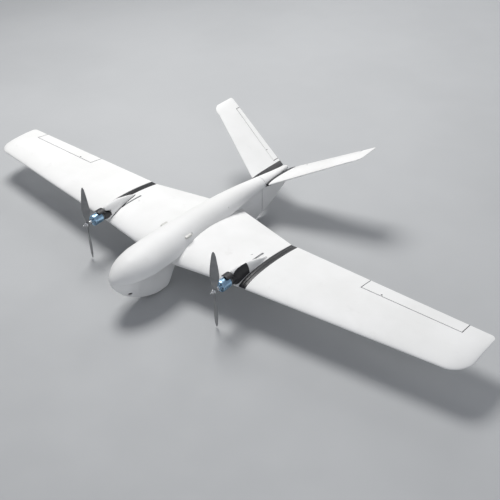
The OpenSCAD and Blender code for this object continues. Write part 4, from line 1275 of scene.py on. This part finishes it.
def turned_metal(name, dark, light, rough, anisotropy=0.4):
    """Metal with fine rings left by a lathe, and small marks."""
    look = Look(name, Metallic=1.0, Anisotropic=anisotropy)
    rings = look.noise(1.0, 3, 0.6, look.stretch(40, 2600, 40))
    tone = look.ramp(rings, [(0.3, dark), (0.7, light)])
    marks = look.noise(260, 5, 0.65)
    look.set(Base_Color=look.mix(look.range(marks, 0.64, 0.78, 0, 0.3), tone, tuple(c * 0.6 for c in dark)))
    look.set(Roughness=look.sum(look.range(rings, 0.3, 0.7, rough - 0.05, rough + 0.05),
        look.range(marks, 0.5, 0.8, 0.0, 0.12)))
    look.bump((rings, 0.00003, 0.4))
    return look.material


def winding_metal(name="winding_metal", dark=(0.09, 0.095, 0.1), light=(0.2, 0.21, 0.22)):
    look = Look(name, Metallic=0.9)
    plates = look.wave(1300, direction="Y", distortion=0.5)
    tone = look.ramp(plates, [(0.2, dark), (0.8, light)])
    look.set(Base_Color=look.mix(look.range(look.noise(150, 4), 0.55, 0.75, 0, 0.4), tone,
        tuple(c * 0.5 for c in dark)))
    look.set(Roughness=look.range(look.noise(90, 3), 0.3, 0.7, 0.3, 0.48))
    look.bump((plates, 0.0001, 0.5))
    return look.material


def brushed_steel():
    look = Look("steel", Metallic=1.0)
    brush = look.noise(30, 5, 0.6, look.stretch(60, 2, 60))
    look.set(Base_Color=look.ramp(brush, [(0.3, (0.42, 0.43, 0.44)), (0.7, (0.63, 0.64, 0.65))]))
    look.set(Roughness=look.range(brush, 0.3, 0.7, 0.22, 0.38))
    look.bump((brush, 0.00003, 0.4))
    return look.material


def lens_look():
    look = Look("lens_glass", Coat_Weight=1.0, Coat_Roughness=0.02, IOR=1.6)
    haze = look.noise(160, 4, 0.6)
    look.set(Base_Color=look.ramp(look.noise(45, 2), [(0.35, (0.006, 0.008, 0.02)),
        (0.65, (0.02, 0.012, 0.035))]))
    look.set(Roughness=look.range(haze, 0.4, 0.75, 0.03, 0.1))
    look.bump((haze, 0.00002, 0.1))
    return look.material


LOOKS = {
    "white_foam": white_foam(),
    "black_plastic": moulded("black_plastic", (0.016, 0.016, 0.018), (0.03, 0.03, 0.033), 0.42, scuff=0.35),
    "carbon_tube": carbon_tube(),
    "plywood": plywood(),
    "battery_wrap": battery_wrap(),
    "gps_plastic": moulded("gps_plastic", (0.66, 0.66, 0.63), (0.74, 0.74, 0.71), 0.4,
                           scuff_colour=(0.45, 0.44, 0.41)),
    "strap_fabric": strap_fabric(),
    "blue_metal": turned_metal("blue_metal", (0.3, 0.52, 0.76), (0.5, 0.7, 0.88), 0.3),
    "winding_metal": winding_metal(),
    "silver_metal": turned_metal("silver_metal", (0.62, 0.63, 0.64), (0.82, 0.83, 0.84), 0.22),
    "grey_plastic": moulded("grey_plastic", (0.2, 0.205, 0.21), (0.27, 0.275, 0.28), 0.38, scuff=0.25,
                            scuff_colour=(0.42, 0.42, 0.42), Specular_IOR_Level=0.6),
    "steel": brushed_steel(),
    "servo_plastic": moulded("servo_plastic", (0.6, 0.6, 0.57), (0.7, 0.7, 0.67), 0.4,
                             scuff_colour=(0.4, 0.4, 0.38)),
}
COPPER = winding_metal("copper_wire", (0.42, 0.16, 0.07), (0.74, 0.34, 0.17))
GLASS = lens_look()


# ---- Putting the pieces on their bodies ----------------------------


def show(piece, body, slot, *nodes, look=None):
    """A piece rides on a body, wears a slot's material and stands for CAD nodes."""
    piece.data.materials.clear()
    piece.data.materials.append(look or LOOKS[slot])
    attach(piece, body)
    if nodes:
        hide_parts(*nodes)


def add_camera():
    """The viewing angle of the photograph: from the port bow, above."""
    back = Vector((0.538, -0.598, 0.594)).normalized()
    right = Vector((-0.3606, 0.4742, 0.8032)).cross(back).normalized()
    data = bpy.data.cameras.new("camera")
    data.lens = 58.05
    data.sensor_width = 36
    camera = bpy.data.objects.new("camera", data)
    turn = Matrix((right, back.cross(right), back)).transposed().to_4x4()
    camera.matrix_world = Matrix.Translation((1.5486, -1.5599, 1.5987)) @ turn
    bpy.context.scene.collection.objects.link(camera)
    bpy.context.scene.camera = camera


def add_light(name, where, target, size, power, colour=(1, 1, 1)):
    data = bpy.data.lights.new(name, "AREA")
    data.shape = "DISK"
    data.size = size
    data.energy = power
    data.color = colour
    light = bpy.data.objects.new(name, data)
    light.location = where
    light.rotation_euler = (Vector(target) - Vector(where)).to_track_quat("-Z", "Y").to_euler()
    bpy.context.scene.collection.objects.link(light)


def add_stage():
    bm = bmesh.new()
    bmesh.ops.create_grid(bm, x_segments=8, y_segments=8, size=9)
    floor = new_object("floor", bm)
    look = Look("floor")
    look.set(Base_Color=look.ramp(look.noise(1.5, 3), [(0.4, (0.47, 0.48, 0.49)),
        (0.6, (0.49, 0.5, 0.51))]))
    look.set(Roughness=look.range(look.noise(9, 3), 0.3, 0.7, 0.7, 0.85))
    floor.data.materials.append(look.material)
    world = bpy.data.worlds.new("studio")
    world.use_nodes = True
    world.node_tree.nodes["Background"].inputs["Color"].default_value = (0.9, 0.93, 1.0, 1)
    world.node_tree.nodes["Background"].inputs["Strength"].default_value = 0.3
    bpy.context.scene.world = world
    add_light("key", (-1.3, 0.6, 3.4), (0, 0, 0.1), 1.6, 104, (1, 0.99, 0.97))
    add_light("fill", (2.6, -1.8, 1.6), (0.1, 0, 0.1), 2.2, 13, (0.93, 0.96, 1))
    add_light("back", (-0.8, 3.2, 2.2), (0, 0.1, 0.1), 1.6, 24)
    bpy.context.scene.view_settings.view_transform = "Standard"


add_camera()
add_stage()

for part in frame["record"]["subparts"]:
    node = frame["nodes"][part["node"]]
    node.data.materials.clear()
    node.data.materials.append(LOOKS[part["material_slot"]])

show(top_cover(), "hatch", "white_foam", "top_cover")
show(lower_hull(), "airframe", "white_foam", "lower_hull", "belly_fairing")
show(tail_cap(), "airframe", "white_foam", "tail_cap")
show(seam_shade_strip(), "airframe", "black_plastic")
show(tail_bracket(), "airframe", "black_plastic", "tail_bracket")
show(fin_spars(), "airframe", "carbon_tube")
show(belly_skid(), "airframe", "black_plastic", "belly_skid")
show(nose_camera(), "airframe", "black_plastic", "nose_camera")
show(lens_glass("nose_camera_lens", 3.3, 1.5, 1.2, (0, 0, 0), NOSE_CAMERA), "airframe", "", look=GLASS)
show(survey_camera(), "airframe", "black_plastic", "survey_camera")
show(lens_glass("survey_camera_lens", 8.4, -102.5, -2.2, (0, SURVEY_Y, 0)), "airframe", "", look=GLASS)
show(battery(), "airframe", "battery_wrap", "battery")
show(battery_plug(), "airframe", "black_plastic")
show(battery_straps(), "airframe", "strap_fabric", "battery_straps")
show(autopilot(), "airframe", "black_plastic", "autopilot")
show(gps_module(), "airframe", "gps_plastic", "gps_module")

for NAME, SIDE in SIDES.items():
    show(centre_wing(NAME, SIDE), "airframe", "white_foam", "centre_wing_" + NAME)
    show(joint_rib("centre_rib_shell_" + NAME, CENTRE_TIP_X, SIDE), "airframe", "black_plastic",
        "centre_rib_" + NAME)
    show(motor_mount(NAME, SIDE), "airframe", "black_plastic", "motor_mount_" + NAME)
    show(motor_stator(NAME), "airframe", "winding_metal", "motor_stator_" + NAME)
    show(windings(NAME), "airframe", "winding_metal", look=COPPER)
    show(nacelle_cover(NAME, SIDE), "airframe", "white_foam", "nacelle_cover_" + NAME)
    show(motor_clamp(NAME, SIDE), "airframe", "black_plastic")
    show(nacelle_foot_shade(NAME, SIDE), "airframe", "black_plastic")
    # The grey strip in the groove is painted shade.
    show(groove_shade_strip(NAME, SIDE), "airframe", "grey_plastic")
    show(latch("latch_slider_" + NAME, SIDE), "latch_" + NAME, "servo_plastic", "latch_" + NAME)
    show(motor_bell(NAME), "rotor_" + NAME, "blue_metal", "motor_bell_" + NAME)
    show(prop_shaft(NAME), "rotor_" + NAME, "silver_metal", "prop_shaft_" + NAME)
    show(prop_nut(NAME), "rotor_" + NAME, "silver_metal", "prop_nut_" + NAME)
    show(propeller(NAME), "rotor_" + NAME, "grey_plastic", "propeller_" + NAME)
    show(outer_wing(NAME, SIDE), "wing_" + NAME, "white_foam", "outer_wing_" + NAME)
    show(joint_rib("outer_rib_shell_" + NAME, JOINT_X + PART_GAP / 2, SIDE), "wing_" + NAME,
        "black_plastic", "outer_rib_" + NAME)
    show(servo("aileron_servo_case_" + NAME, SIDE, AILERON_LINK), "wing_" + NAME, "black_plastic",
        "aileron_servo_" + NAME)
    show(aileron(NAME, SIDE), "aileron_" + NAME, "white_foam", "aileron_" + NAME)
    show(surface_shade_parts("aileron_shade_parts_" + NAME, aileron_rings(), AILERON_IN, AILERON_OUT, AILERON_R, 1.3,
        SIDE, 20), "aileron_" + NAME, "black_plastic")
    show(aileron_horn("aileron_horn_plate_" + NAME, SIDE), "aileron_" + NAME, "black_plastic",
        "aileron_horn_" + NAME)
    show(servo_arm("aileron_arm_plate_" + NAME, SIDE, AILERON_LINK), "aileron_arm_" + NAME, "servo_plastic",
         "aileron_servo_arm_" + NAME)
    show(push_rod("aileron_rod_" + NAME, SIDE, AILERON_LINK), "aileron_rod_" + NAME, "steel",
        "aileron_pushrod_" + NAME)
    show(tail_fin(NAME, SIDE), "fin_" + NAME, "white_foam", "tail_fin_" + NAME)
    show(servo("tail_servo_case_" + NAME, SIDE, RV_LINK), "fin_" + NAME, "black_plastic",
        "tail_servo_" + NAME)
    show(ruddervator(NAME, SIDE), "ruddervator_" + NAME, "white_foam", "ruddervator_" + NAME)
    show(surface_shade_parts("ruddervator_shade_parts_" + NAME, ruddervator_rings(), RV_IN, RV_OUT, RV_R, 0.9, SIDE,
        470, FIN_FRAME), "ruddervator_" + NAME, "black_plastic")
    show(tail_horn("tail_horn_plate_" + NAME, SIDE), "ruddervator_" + NAME, "black_plastic")
    show(servo_arm("tail_arm_plate_" + NAME, SIDE, RV_LINK), "tail_arm_" + NAME, "servo_plastic",
        "tail_servo_arm_" + NAME)
    show(push_rod("tail_rod_" + NAME, SIDE, RV_LINK), "tail_rod_" + NAME, "steel", "tail_pushrod_" + NAME)
